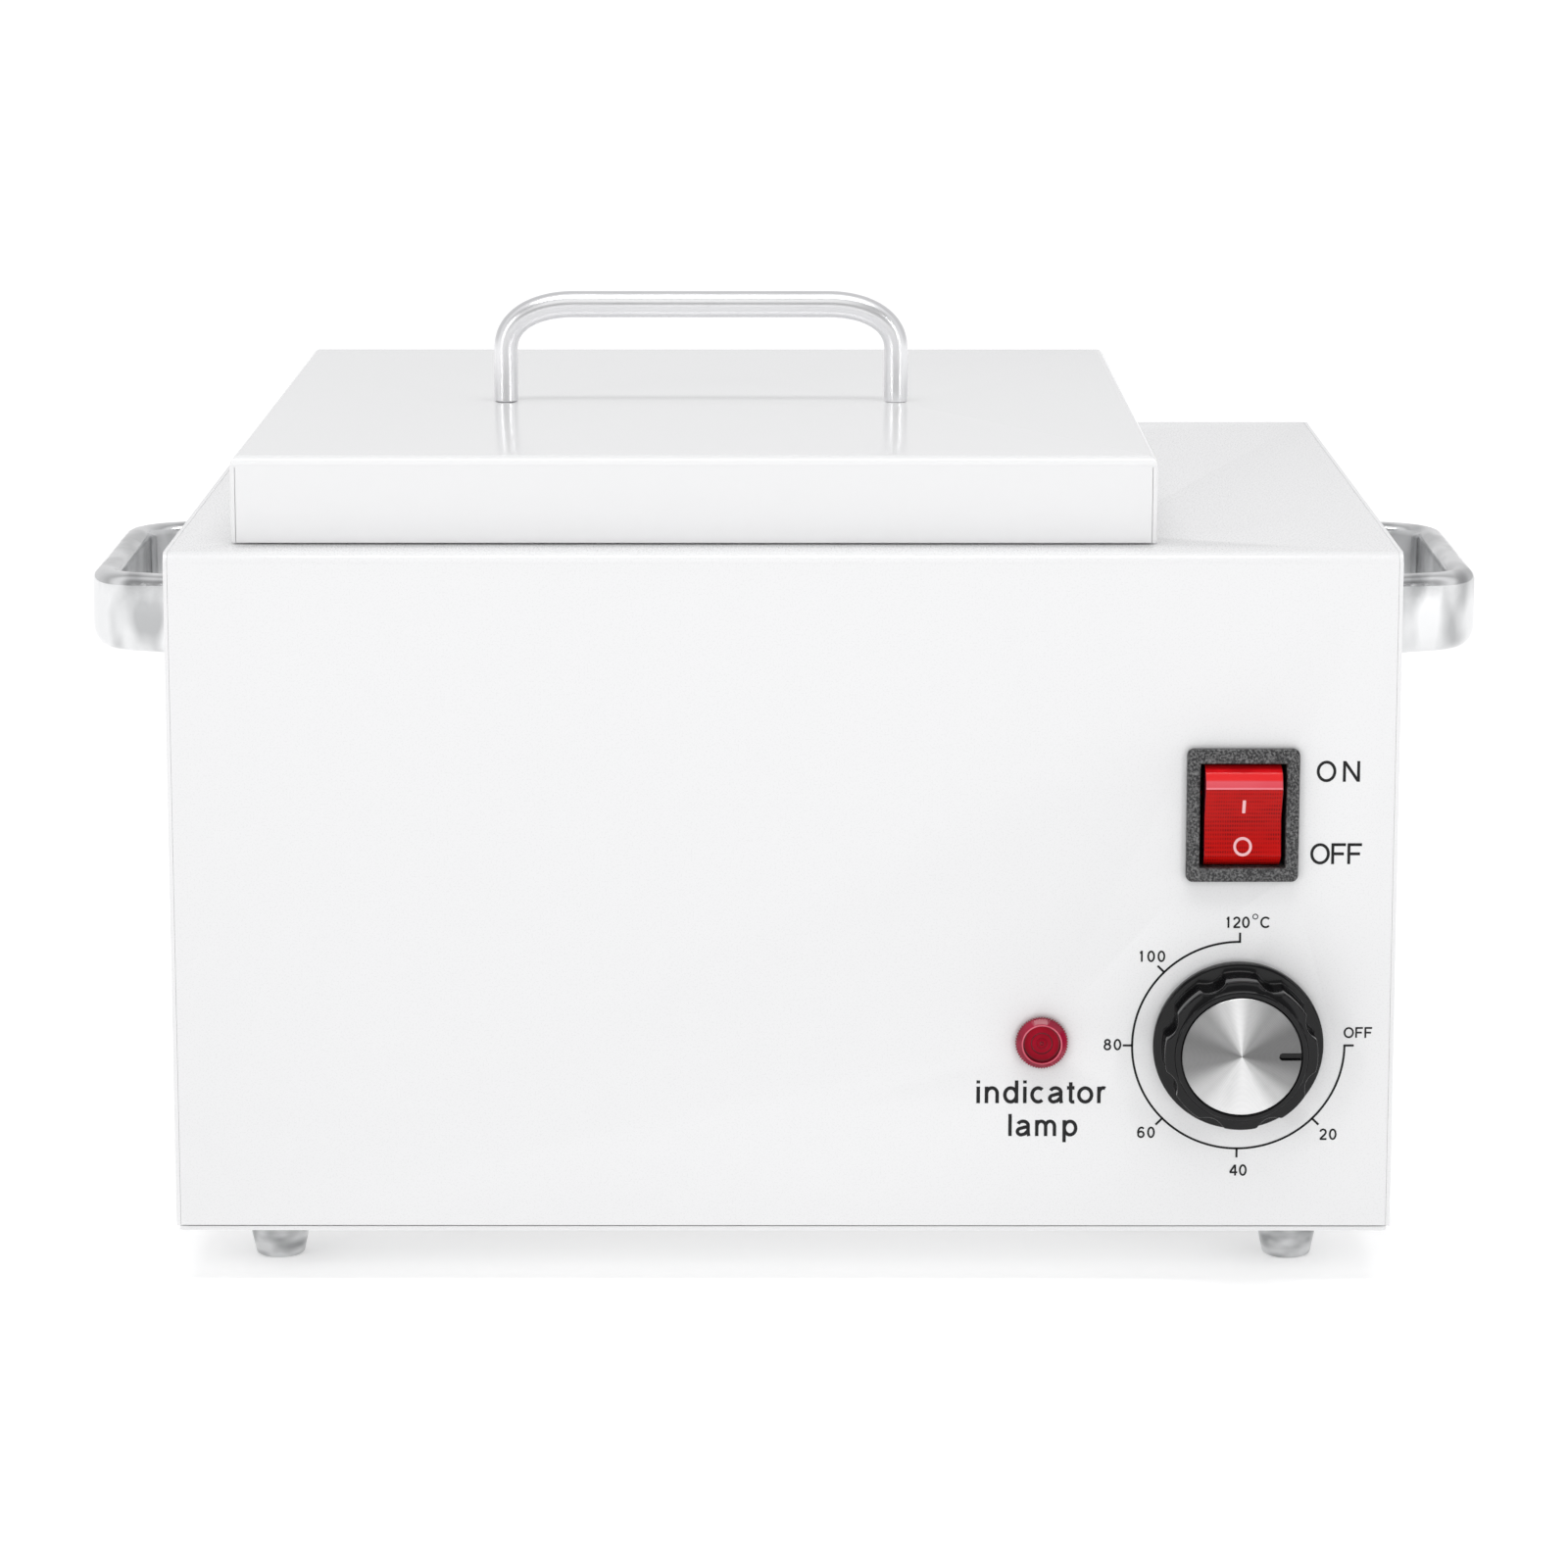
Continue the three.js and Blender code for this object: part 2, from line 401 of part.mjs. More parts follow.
// ---------------------------------------------------------------- rocker switch
const bodyBack = 27;
let switchBody = join(
  prismY(roundRect(SWITCH_X, SWITCH_Z, SWITCH_W, SWITCH_H, 1.5, 2), -2.0, -GAP),
  box(SWITCH_X - 11, SWITCH_X + 11, -0.5, bodyBack, SWITCH_Z - 14, SWITCH_Z + 14),
  box(SWITCH_X - 3.1, SWITCH_X + 3.1, bodyBack - 0.5, bodyBack + 8, SWITCH_Z - 7.4, SWITCH_Z - 6.6),
  box(SWITCH_X - 3.1, SWITCH_X + 3.1, bodyBack - 0.5, bodyBack + 8, SWITCH_Z + 6.6, SWITCH_Z + 7.4));
switchBody = cut(switchBody, box(SWITCH_X - SWITCH_OPEN_W / 2, SWITCH_X + SWITCH_OPEN_W / 2, -4, 24, SWITCH_Z - SWITCH_OPEN_H / 2, SWITCH_Z + SWITCH_OPEN_H / 2));
part('switch_housing', switchBody, 0x2b2c2e, 0.6, 0.0);

// turns a point of the Y-Z plane about a pivot, positive by the right-hand rule about +X
const turnYZ = (points, py, pz, angle) => points.map(([y, z]) => {
  const c = Math.cos(deg(angle)), s = Math.sin(deg(angle));
  return [py + (y - py) * c - (z - pz) * s, pz + (y - py) * s + (z - pz) * c];
});
const paddle = [[-1.3, 0], [-2.0, 6.0], [-3.5, 10.8], [-2.6, 11.1], [1.0, 11.4], [3.0, 11.5], [8.0, 9.0], [8.0, 1.6], [13.6, 1.0],
  [13.9, 0], [13.6, -1.0], [8.0, -1.6], [8.0, -9.0], [3.0, -11.5], [1.0, -11.4], [-2.6, -11.1], [-3.5, -10.8], [-2.0, -6.0]]
  .map(([y, z]) => [y, SWITCH_Z + z]);
part('switch_rocker', prismX(turnYZ(paddle, ROCKER_PIVOT_Y, SWITCH_Z, ROCKER_HALF_TILT), SWITCH_X - 9.4, SWITCH_X + 9.4), RED, 0.25, 0.0);

const blade = [[-0.5, -8], [-0.5, 8], [0.5, 8], [0.5, -8]].map(([y, z]) => [CONTACT_PIVOT_Y + y, SWITCH_Z + z]);
part('switch_contact_blade', prismX(turnYZ(blade, CONTACT_PIVOT_Y, SWITCH_Z, -CONTACT_HALF_TILT), SWITCH_X - 4, SWITCH_X + 4), 0xc98a4a, 0.3, 1.0);

// ---------------------------------------------------------------- indicator lamp
const lensRim = latheY([[0, -1.2], [2.2, -1.2], [2.2, -1.5], [4.1, -1.5], [4.3, -2.8], [4.7, -2.8], [LAMP_R, -1.4], [LAMP_R, -GAP], [4.7, -GAP], [4.7, 8], [0, 8]], LAMP_X, LAMP_Z, 20);
part('indicator_lens', cut(lensRim, cylY(3.4, 0.4, 9, LAMP_X, LAMP_Z, 12)), LAMP_RED, 0.2, 0.0);
part('indicator_nut', cut(prismY([...Array(6)].map((_, i) => [LAMP_X + 8 * Math.cos((Math.PI * i) / 3), LAMP_Z + 8 * Math.sin((Math.PI * i) / 3)]), SHEET + GAP, SHEET + GAP + 2.5),
  cylY(5.0, 0, 8, LAMP_X, LAMP_Z, 20)), DARK, 0.5, 0.0);
part('indicator_bulb', latheY([[0, 1.0], [1.6, 1.4], [2.5, 2.6], [2.5, 7.4], [0, 7.8]], LAMP_X, LAMP_Z, 12), 0xf0b48c, 0.1, 0.0);
part('indicator_base', join(
  cylY(4.7, 8 + GAP, 22, LAMP_X, LAMP_Z, 16),
  box(LAMP_X - 3.4, LAMP_X - 2.6, 21.5, 29, LAMP_Z - 1.4, LAMP_Z + 1.4),
  box(LAMP_X + 2.6, LAMP_X + 3.4, 21.5, 29, LAMP_Z - 1.4, LAMP_Z + 1.4)), DARK, 0.5, 0.0);

// ---------------------------------------------------------------- power inlet
const inletFlange = prismY(roundRect(INLET_X, INLET_Z, 49, 23, 2.5, 3), CASE_D + GAP, INLET_BACK);
const inletBody = prismY(roundRect(INLET_X, INLET_Z, 27, 20, 1.2, 2), CASE_D - 17, CASE_D + GAP + 0.2);
const inletMouth = prismY([[-12, -8.2], [12, -8.2], [12, 3.6], [7.6, 8.2], [-7.6, 8.2], [-12, 3.6]].map(([x, z]) => [INLET_X + x, INLET_Z + z]), CASE_D - 14.5, CASE_D + 6);
const pins = [['live', 7, -1.5], ['neutral', -7, -1.5], ['earth', 0, 3.4]];
let inlet = cut(join(inletFlange, inletBody), inletMouth);
for (const [, px, pz] of pins)
  inlet = cut(inlet, box(INLET_X + px - 1.3, INLET_X + px + 1.3, CASE_D - 20, CASE_D - 12, INLET_Z + pz - 2.3, INLET_Z + pz + 2.3));
const csk = (r0, r1, x) => latheY([[0, CASE_D - 8], [r0, CASE_D - 8], [r0, INLET_BACK - r1 + r0 - 0.1], [r1, INLET_BACK - 0.1], [0, INLET_BACK - 0.1]], x, INLET_Z, 12);
const cskHole = (x) => join(cylY(1.7, CASE_D - 9, CASE_D + 8, x, INLET_Z, 12), latheY([[0, INLET_BACK - 1.9], [1.7, INLET_BACK - 1.9], [4.1, INLET_BACK + 0.5], [0, INLET_BACK + 0.5]], x, INLET_Z, 16));
for (const x of [INLET_X - 20, INLET_X + 20]) inlet = cut(inlet, cskHole(x));
part('inlet_body', inlet, BLACK, 0.4, 0.0);
for (const [name, px, pz] of pins)
  part(`inlet_pin_${name}`, box(INLET_X + px - 1, INLET_X + px + 1, CASE_D - 26, CASE_D - 1.0, INLET_Z + pz - 2, INLET_Z + pz + 2), 0xc0b070, 0.3, 1.0);
part('inlet_screw_left', csk(1.35, 2.9, INLET_X - 20), STEEL, 0.3, 1.0);
part('inlet_screw_right', csk(1.35, 2.9, INLET_X + 20), STEEL, 0.3, 1.0);

// ---------------------------------------------------------------- wiring
part('terminal_block', cut(
  box(86, 126, 132, 149, WALL_BOTTOM, WALL_BOTTOM + 15),
  ...[92, 101, 111, 120].map((x) => cylZ(2.4, WALL_BOTTOM + 9, WALL_BOTTOM + 20, x, 140.5, 10))), 0xe6e2d6, 0.6, 0.0);
const wire = (name, points, color, steps = 20) => part(name, rod(points, 1.2, 6, 9, steps), color, 0.5, 0.0);
const tb = WALL_BOTTOM + 15;
wire('wire_live', [[INLET_X + 7, CASE_D - 26.4, INLET_Z - 1.5], [INLET_X + 7, CASE_D - 50, INLET_Z + 6], [118, 120, 118], [SWITCH_X, 60, SWITCH_Z + 7], [SWITCH_X, bodyBack + 8.4, SWITCH_Z + 7]], 0x7a4a2a, 14);
wire('wire_neutral', [[INLET_X - 7, CASE_D - 26.4, INLET_Z - 1.5], [INLET_X - 7, CASE_D - 50, INLET_Z - 4], [92, 160, tb + 14], [92, 140.5, tb + 12], [92, 140.5, tb - 4]], 0x2a62b0, 14);
wire('wire_earth', [[INLET_X, CASE_D - 26.4, INLET_Z + 3.4], [INLET_X, CASE_D - 44, INLET_Z + 3.4], [101, 165, tb + 22], [101, 140.5, tb + 18], [101, 140.5, tb - 4]], 0x6fa03c, 14);
wire('wire_switched', [[SWITCH_X, bodyBack + 8.4, SWITCH_Z - 7], [SWITCH_X, 52, SWITCH_Z - 9], [DIAL_X + 7, 52, DIAL_Z + 9], [DIAL_X + 7, tFront + 34.4, DIAL_Z + 8.4]], 0x7a4a2a, 12);
wire('wire_heater_live', [[DIAL_X - 7, tFront + 34.4, DIAL_Z + 8.4], [DIAL_X - 8, 56, DIAL_Z + 6], [88, 100, 40], [WELL_CX + 40, WELL_CY + 20, 42], [WELL_CX + 12.6, WELL_CY + 20, cutTop - 7.1]], 0xa03028, 16);
wire('wire_heater_neutral', [[WELL_CX + 74.5, WELL_CY - 11, HEATER_TOP - 2.1], [80, WELL_CY - 11, HEATER_TOP - 2.1], [111, 134, tb + 20], [111, 140.5, tb + 16], [111, 140.5, tb - 4]], 0x2a62b0, 14);
wire('wire_lamp', [[LAMP_X + 3, 29.6, LAMP_Z], [LAMP_X + 3.4, 33, LAMP_Z - 0.4], [LAMP_X + 8, 38, LAMP_Z - 4], [80, 50, 40], [96, 90, 26], [120, 120, tb + 12], [120, 140.5, tb + 12], [120, 140.5, tb - 4]], 0x303030, 16);

// ---------------------------------------------------------------- lid
// box with folded top edges: the two folded profiles crossed
function foldedBox(x0, x1, y0, y1, z0, z1, r) {
  const prof = (a, b) => {
    const out = [[a, z0]];
    for (let i = 0; i <= 4; i++) { const t = deg(180 - 22.5 * i); out.push([a + r + r * Math.cos(t), z1 - r + r * Math.sin(t)]); }
    for (let i = 0; i <= 4; i++) { const t = deg(90 - 22.5 * i); out.push([b - r + r * Math.cos(t), z1 - r + r * Math.sin(t)]); }
    out.push([b, z0]);
    return out;
  };
  return prismX(prof(y0, y1), x0, x1).intersect(prismY(prof(x0, x1), y0, y1));
}
let lid = cut(
  foldedBox(LID_X0, LID_X1, LID_Y0, LID_Y1, LID_Z0, LID_TOP, LID_BEND),
  box(LID_X0 + SHEET, LID_X1 - SHEET, LID_Y0 + SHEET, LID_Y1 - SHEET, LID_Z0 - 5, LID_TOP - SHEET));
for (const s of [-1, 1]) lid = cut(lid, cylZ(2.1, LID_TOP - 4, LID_TOP + 4, WELL_CX + (s * LID_HANDLE_PITCH) / 2, LID_HANDLE_Y, 12));
part('lid_shell', lid, WHITE, 0.22, 0.0);

// round bar bent into a bow handle
const hx = LID_HANDLE_PITCH / 2, hz = LID_HANDLE_AXIS_Z;
const bow = new THREE.CurvePath();
const P = (x, z) => new THREE.Vector3(WELL_CX + x, LID_HANDLE_Y, z);
bow.add(new THREE.LineCurve3(P(-hx, LID_TOP + GAP), P(-hx, hz - 11)));
bow.add(new THREE.CubicBezierCurve3(P(-hx, hz - 11), P(-hx, hz - 4), P(-hx + 7, hz), P(-hx + 17, hz)));
bow.add(new THREE.LineCurve3(P(-hx + 17, hz), P(hx - 17, hz)));
bow.add(new THREE.CubicBezierCurve3(P(hx - 17, hz), P(hx - 7, hz), P(hx, hz - 4), P(hx, hz - 11)));
bow.add(new THREE.LineCurve3(P(hx, hz - 11), P(hx, LID_TOP + GAP)));
const rodSection = [...Array(10)].map((_, i) => [LID_HANDLE_ROD * Math.cos((2 * Math.PI * i) / 10), LID_HANDLE_ROD * Math.sin((2 * Math.PI * i) / 10)]);
let lidHandle = toSolid(new THREE.ExtrudeGeometry(shapeOf(rodSection), { extrudePath: bow, steps: 28, bevelEnabled: false }));
for (const s of [-1, 1]) lidHandle = cut(lidHandle, cylZ(2.0, LID_TOP - 2, LID_TOP + 10, WELL_CX + s * hx, LID_HANDLE_Y, 10));
part('lid_handle', lidHandle, CHROME, 0.1, 1.0);
for (const [side, s] of [['left', -1], ['right', 1]])
  part(`lid_handle_screw_${side}`, latheZ([[0, LID_TOP - SHEET - 3.0], [3.6, LID_TOP - SHEET - 3.0], [3.6, LID_TOP - SHEET - GAP], [1.7, LID_TOP - SHEET - GAP], [1.7, LID_TOP + 9], [0, LID_TOP + 9]],
    WELL_CX + s * hx, LID_HANDLE_Y, 12), STEEL, 0.3, 1.0);

export default model;
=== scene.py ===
import math

import bpy
import bmesh
from mathutils import Matrix, Vector


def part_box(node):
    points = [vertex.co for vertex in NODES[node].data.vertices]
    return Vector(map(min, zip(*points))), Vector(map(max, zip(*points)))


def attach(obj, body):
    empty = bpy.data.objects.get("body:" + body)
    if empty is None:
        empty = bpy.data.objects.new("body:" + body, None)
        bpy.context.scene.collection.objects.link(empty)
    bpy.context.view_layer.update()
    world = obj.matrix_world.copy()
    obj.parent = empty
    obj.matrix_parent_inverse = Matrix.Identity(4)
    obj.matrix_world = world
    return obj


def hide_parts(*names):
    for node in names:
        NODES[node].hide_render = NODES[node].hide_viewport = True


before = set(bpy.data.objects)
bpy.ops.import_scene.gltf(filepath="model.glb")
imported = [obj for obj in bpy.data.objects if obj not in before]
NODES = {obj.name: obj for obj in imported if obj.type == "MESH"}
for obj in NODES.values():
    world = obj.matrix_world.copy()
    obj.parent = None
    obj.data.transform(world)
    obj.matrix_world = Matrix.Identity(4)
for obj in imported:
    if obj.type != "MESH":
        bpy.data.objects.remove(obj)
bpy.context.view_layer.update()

scene = bpy.context.scene

# Lengths below are millimetres with y = 0 on the casing's front face; settle() turns them into the frame's metres.
MM = 0.001
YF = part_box("casing_shell")[0].y

# ------------------------------------------------------------------ camera
cam_data = bpy.data.cameras.new("camera")
cam_data.lens = 124.97
cam_data.sensor_width = 36.0
cam_data.clip_start, cam_data.clip_end = 0.05, 60
cam = bpy.data.objects.new("camera", cam_data)
scene.collection.objects.link(cam)
cam.location = (0.002, YF - 1.219, 0.3545)
cam.rotation_euler = (math.radians(90 - 10.98), 0, math.radians(0.084))
scene.camera = cam

# ------------------------------------------------------------------ mesh helpers
def new_obj(name, verts, faces):
    me = bpy.data.meshes.new(name)
    me.from_pydata([tuple(v) for v in verts], [], faces)
    me.validate()
    me.update()
    ob = bpy.data.objects.new(name, me)
    scene.collection.objects.link(ob)
    outward(ob)
    return ob


def outward(ob):
    bm = bmesh.new()
    bm.from_mesh(ob.data)
    bmesh.ops.recalc_face_normals(bm, faces=bm.faces)
    if bm.calc_volume(signed=True) < 0:
        bmesh.ops.reverse_faces(bm, faces=bm.faces)
    bm.to_mesh(ob.data)
    bm.free()


def bake(ob):
    """Applies the modifiers."""
    bpy.context.view_layer.update()
    dg = bpy.context.evaluated_depsgraph_get()
    me = bpy.data.meshes.new_from_object(ob.evaluated_get(dg), depsgraph=dg)
    old = ob.data
    ob.modifiers.clear()
    ob.data = me
    bpy.data.meshes.remove(old)
    return ob


def boolean(ob, tools, op="DIFFERENCE"):
    for t in tools:
        m = ob.modifiers.new("b", "BOOLEAN")
        m.operation, m.object, m.solver = op, t, "EXACT"
    bake(ob)
    for t in tools:
        bpy.data.objects.remove(t)
    clean(ob)
    return ob


def clean(ob, dist=1e-4):
    bm = bmesh.new()
    bm.from_mesh(ob.data)
    bmesh.ops.remove_doubles(bm, verts=bm.verts, dist=dist)
    bmesh.ops.dissolve_degenerate(bm, edges=bm.edges, dist=dist)
    bmesh.ops.recalc_face_normals(bm, faces=bm.faces)
    bm.to_mesh(ob.data)
    bm.free()
    return ob


def bevel(ob, width, segments=3, angle=40):
    m = ob.modifiers.new("v", "BEVEL")
    m.width, m.segments, m.limit_method, m.angle_limit = width, segments, "ANGLE", math.radians(angle)
    m.use_clamp_overlap = True
    m.miter_outer = "MITER_ARC"
    return bake(ob)


def shade(ob, angle=32):
    me = ob.data
    for p in me.polygons:
        p.use_smooth = True
    me.set_sharp_from_angle(angle=math.radians(angle))
    me.update()
    return ob


def settle(ob, body, mats, replaces=(), angle=32):
    """Into the frame: metres, riding on its body, with its material."""
    ob.data.transform(Matrix.Translation((0, YF, 0)) @ Matrix.Scale(MM, 4))
    shade(ob, angle)
    ob.data.materials.clear()
    for m in (mats if isinstance(mats, (list, tuple)) else [mats]):
        ob.data.materials.append(m)
    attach(ob, body)
    if replaces:
        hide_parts(*replaces)
    return ob


def round_rect(cx, cy, w, h, r, seg=6):
    out = []
    for sx, sy, start in ((1, 1, 0), (-1, 1, 90), (-1, -1, 180), (1, -1, 270)):
        for i in range(seg + 1):
            t = math.radians(start + 90 * i / seg)
            out.append((cx + sx * (w / 2 - r) + r * math.cos(t), cy + sy * (h / 2 - r) + r * math.sin(t)))
    return out


AX = {"z": lambda a, b, h: (a, b, h), "y": lambda a, b, h: (a, h, b), "x": lambda a, b, h: (h, a, b)}


def prism(name, pts, lo, hi, axis):
    f, n = AX[axis], len(pts)
    verts = [f(a, b, lo) for a, b in pts] + [f(a, b, hi) for a, b in pts]
    faces = [list(range(n)), list(range(n, 2 * n))]
    faces += [[i, (i + 1) % n, n + (i + 1) % n, n + i] for i in range(n)]
    return new_obj(name, verts, faces)


def cube(name, x0, x1, y0, y1, z0, z1):
    return prism(name, [(x0, y0), (x1, y0), (x1, y1), (x0, y1)], z0, z1, "z")


def loft(name, rings):
    """Closed skin over rings of points; a ring of one point is a pole, and open ends are capped flat."""
    verts, index = [], []
    for r in rings:
        index.append(list(range(len(verts), len(verts) + len(r))))
        verts += r
    faces = []
    for a, b in zip(index, index[1:]):
        if len(a) == 1 and len(b) == 1:
            continue
        n = max(len(a), len(b))
        for i in range(n):
            j = (i + 1) % n
            if len(a) == 1:
                faces.append([a[0], b[i], b[j]])
            elif len(b) == 1:
                faces.append([a[i], a[j], b[0]])
            else:
                faces.append([a[i], a[j], b[j], b[i]])
    if len(index[0]) > 1:
        faces.append(list(reversed(index[0])))
    if len(index[-1]) > 1:
        faces.append(index[-1])
    return new_obj(name, verts, faces)


def revolve(name, profile, axis, centre, seg=64, shape=None):
    """Turned solid. profile is [(radius, height)], from the axis to the axis; shape(theta, r, h) may change a radius."""
    f = AX[axis]
    rings = []
    for r, h in profile:
        if r <= 1e-9:
            rings.append([f(centre[0], centre[1], h)])
            continue
        ring = []
        for i in range(seg):
            t = 2 * math.pi * i / seg
            q = shape(t, r, h) if shape else r
            ring.append(f(centre[0] + q * math.cos(t), centre[1] + q * math.sin(t), h))
        rings.append(ring)
    return loft(name, rings)


def arc(cx, cy, r, a0, a1, n):
    return [(cx + r * math.cos(math.radians(a0 + (a1 - a0) * i / n)), cy + r * math.sin(math.radians(a0 + (a1 - a0) * i / n))) for i in range(n + 1)]


def fillet_path(points, radii, seg=10):
    """Polyline with its inner corners turned into true arcs."""
    out = [Vector(points[0])]
    for i in range(1, len(points) - 1):
        p, a, b = Vector(points[i]), Vector(points[i - 1]), Vector(points[i + 1])
        u, v = (a - p).normalized(), (b - p).normalized()
        half = u.angle(v) / 2
        r = radii[i - 1]
        t = r / math.tan(half)
        c = p + (u + v).normalized() * (r / math.sin(half))
        s, e = p + u * t - c, p + v * t - c
        ang = s.angle(e)
        for k in range(seg + 1):
            w = k / seg
            q = (s * math.sin((1 - w) * ang) + e * math.sin(w * ang)) / math.sin(ang)
            out.append(c + q)
    out.append(Vector(points[-1]))
    return out


def resample(points, step):
    out = [points[0]]
    for a, b in zip(points, points[1:]):
        n = max(1, int(round((b - a).length / step)))
        out += [a.lerp(b, (i + 1) / n) for i in range(n)]
    return out


# ------------------------------------------------------------------ material helpers
def material(name):
    m = bpy.data.materials.new(name)
    m.use_nodes = True
    nt = m.node_tree
    return m, nt, nt.nodes["Principled BSDF"]


def node(nt, kind, **inputs):
    n = nt.nodes.new(kind)
    for k, v in inputs.items():
        n.inputs[k.replace("_", " ")].default_value = v
    return n


def coords(nt, scale=(1, 1, 1), rot=(0, 0, 0)):
    tc = nt.nodes.new("ShaderNodeTexCoord")
    mp = nt.nodes.new("ShaderNodeMapping")
    mp.inputs["Scale"].default_value = scale
    mp.inputs["Rotation"].default_value = rot
    nt.links.new(tc.outputs["Object"], mp.inputs["Vector"])
    return mp.outputs["Vector"]


def noise(nt, vec, scale, detail=3.0, rough=0.5):
    n = node(nt, "ShaderNodeTexNoise", Scale=scale, Detail=detail, Roughness=rough)
    nt.links.new(vec, n.inputs["Vector"])
    return n.outputs["Fac"]


def remap(nt, fac, lo, hi, a=0.3, b=0.7):
    n = nt.nodes.new("ShaderNodeMapRange")
    n.inputs["From Min"].default_value, n.inputs["From Max"].default_value = a, b
    n.inputs["To Min"].default_value, n.inputs["To Max"].default_value = lo, hi
    nt.links.new(fac, n.inputs["Value"])
    return n.outputs["Result"]


def mix(nt, fac, c0, c1):
    n = nt.nodes.new("ShaderNodeMix")
    n.data_type = "RGBA"
    n.inputs["A"].default_value = (*c0, 1)
    n.inputs["B"].default_value = (*c1, 1)
    nt.links.new(fac, n.inputs["Factor"])
    return n.outputs["Result"]


def bump(nt, bsdf, layers):
    """layers: [(height output, strength, distance in metres)], stacked."""
    prev = None
    for h, strength, distance in layers:
        b = node(nt, "ShaderNodeBump", Strength=strength, Distance=distance)
        nt.links.new(h, b.inputs["Height"])
        if prev is not None:
            nt.links.new(prev, b.inputs["Normal"])
        prev = b.outputs["Normal"]
    nt.links.new(prev, bsdf.inputs["Normal"])


def powder_coat(name, c, rough, peel=0.05):
    m, nt, b = material(name)
    v = coords(nt)
    big = noise(nt, v, 7.0, 2.0)
    peel_n = noise(nt, v, 420.0, 1.5, 0.4)
    grain = noise(nt, v, 2600.0, 2.0)
    nt.links.new(mix(nt, remap(nt, big, 0, 1), tuple(x * 0.99 for x in c), c), b.inputs["Base Color"])
    nt.links.new(remap(nt, grain, rough - 0.015, rough + 0.015), b.inputs["Roughness"])
    b.inputs["Coat Weight"].default_value = 0.35
    b.inputs["Coat Roughness"].default_value = 0.10
    bump(nt, b, [(peel_n, peel, 0.00003), (grain, peel * 0.4, 0.00001)])
    return m


def chrome(name, c=(0.86, 0.87, 0.88), rough=0.07, wave=0.05):
    m, nt, b = material(name)
    v = coords(nt)
    soft = noise(nt, v, 60.0, 2.0)
    fine = noise(nt, coords(nt, (1, 1, 1)), 900.0, 3.0)
    nt.links.new(mix(nt, remap(nt, soft, 0, 1), tuple(x * 0.96 for x in c), c), b.inputs["Base Color"])
    nt.links.new(remap(nt, fine, rough * 0.7, rough * 1.5), b.inputs["Roughness"])
    b.inputs["Metallic"].default_value = 1.0
    bump(nt, b, [(soft, wave, 0.0004), (fine, 0.01, 0.00001)])
    return m


def maths(nt, op, a, b=None):
    n = nt.nodes.new("ShaderNodeMath")
    n.operation = op
    for i, v in enumerate((a, b)):
        if v is None:
            continue
        if isinstance(v, (int, float)):
            n.inputs[i].default_value = v
        else:
            nt.links.new(v, n.inputs[i])
    return n.outputs[0]


def satin(name, c, rough):
    """Evenly polished rod: only broad, faint differences in its polish."""
    m, nt, b = material(name)
    soft = noise(nt, coords(nt), 35.0, 1.0)
    nt.links.new(mix(nt, remap(nt, soft, 0, 1), tuple(x * 0.97 for x in c), c), b.inputs["Base Color"])
    nt.links.new(remap(nt, noise(nt, coords(nt), 70.0, 1.0), rough - 0.02, rough + 0.02), b.inputs["Roughness"])
    b.inputs["Metallic"].default_value = 1.0
    return m


def chrome_painted_patches(name, dark, light, rough, scale, painted_dark_z=None):
    """Polished casting whose skin isn't quite true; its colour is patched dark and light as painted reflections of
    light and shade, and with a z range given it darkens towards the top as a painted dark reflection.
    """
    m, nt, b = material(name)
    p = noise(nt, coords(nt, scale), 1.0, 1.5, 0.4)
    fac = remap(nt, p, 0, 1, 0.36, 0.60)
    # painted dark reflection: the colour darkens towards the top of the part
    if painted_dark_z is not None:
        fac = remap(nt, p, 0.45, 1, 0.38, 0.58)
        tc = nt.nodes.new("ShaderNodeTexCoord")
        sep = nt.nodes.new("ShaderNodeSeparateXYZ")
        nt.links.new(tc.outputs["Object"], sep.inputs["Vector"])
        fac = maths(nt, "MULTIPLY", fac, remap(nt, sep.outputs["Z"], 1.0, 0.1, painted_dark_z[0] * MM, painted_dark_z[1] * MM))
    nt.links.new(mix(nt, fac, dark, light), b.inputs["Base Color"])
    fine = noise(nt, coords(nt), 700.0, 2.0)
    nt.links.new(remap(nt, fine, rough * 0.8, rough * 1.3), b.inputs["Roughness"])
    b.inputs["Metallic"].default_value = 1.0
    soft = noise(nt, coords(nt), 75.0, 1.5)
    bump(nt, b, [(soft, 0.35, 0.0008)])
    return m


def brushed(name, c, rough=0.3, along="x", strength=0.12):
    m, nt, b = material(name)
    s = {"x": (12, 1400, 1400), "y": (1400, 12, 1400), "z": (1400, 1400, 12)}[along]
    streak = noise(nt, coords(nt, s), 1.0, 4.0, 0.6)
    patch = noise(nt, coords(nt), 25.0, 2.0)
    nt.links.new(mix(nt, remap(nt, streak, 0, 1), tuple(x * 0.86 for x in c), c), b.inputs["Base Color"])
    nt.links.new(remap(nt, patch, rough - 0.05, rough + 0.07), b.inputs["Roughness"])
    b.inputs["Metallic"].default_value = 1.0
    bump(nt, b, [(streak, strength, 0.00004)])
    return m


def plastic(name, c, rough, grain=300.0, strength=0.05, distance=0.00005, spread=0.12, coat=0.0):
    m, nt, b = material(name)
    v = coords(nt)
    n1, n2 = noise(nt, v, grain, 3.0), noise(nt, v, 40.0, 2.0)
    nt.links.new(mix(nt, remap(nt, n2, 0, 1), tuple(x * (1 - spread) for x in c), tuple(min(1, x * (1 + spread)) for x in c)), b.inputs["Base Color"])
    nt.links.new(remap(nt, n1, rough * 0.85, rough * 1.15), b.inputs["Roughness"])
    b.inputs["Coat Weight"].default_value = coat
    b.inputs["Coat Roughness"].default_value = 0.05
    bump(nt, b, [(n1, strength, distance)])
    return m


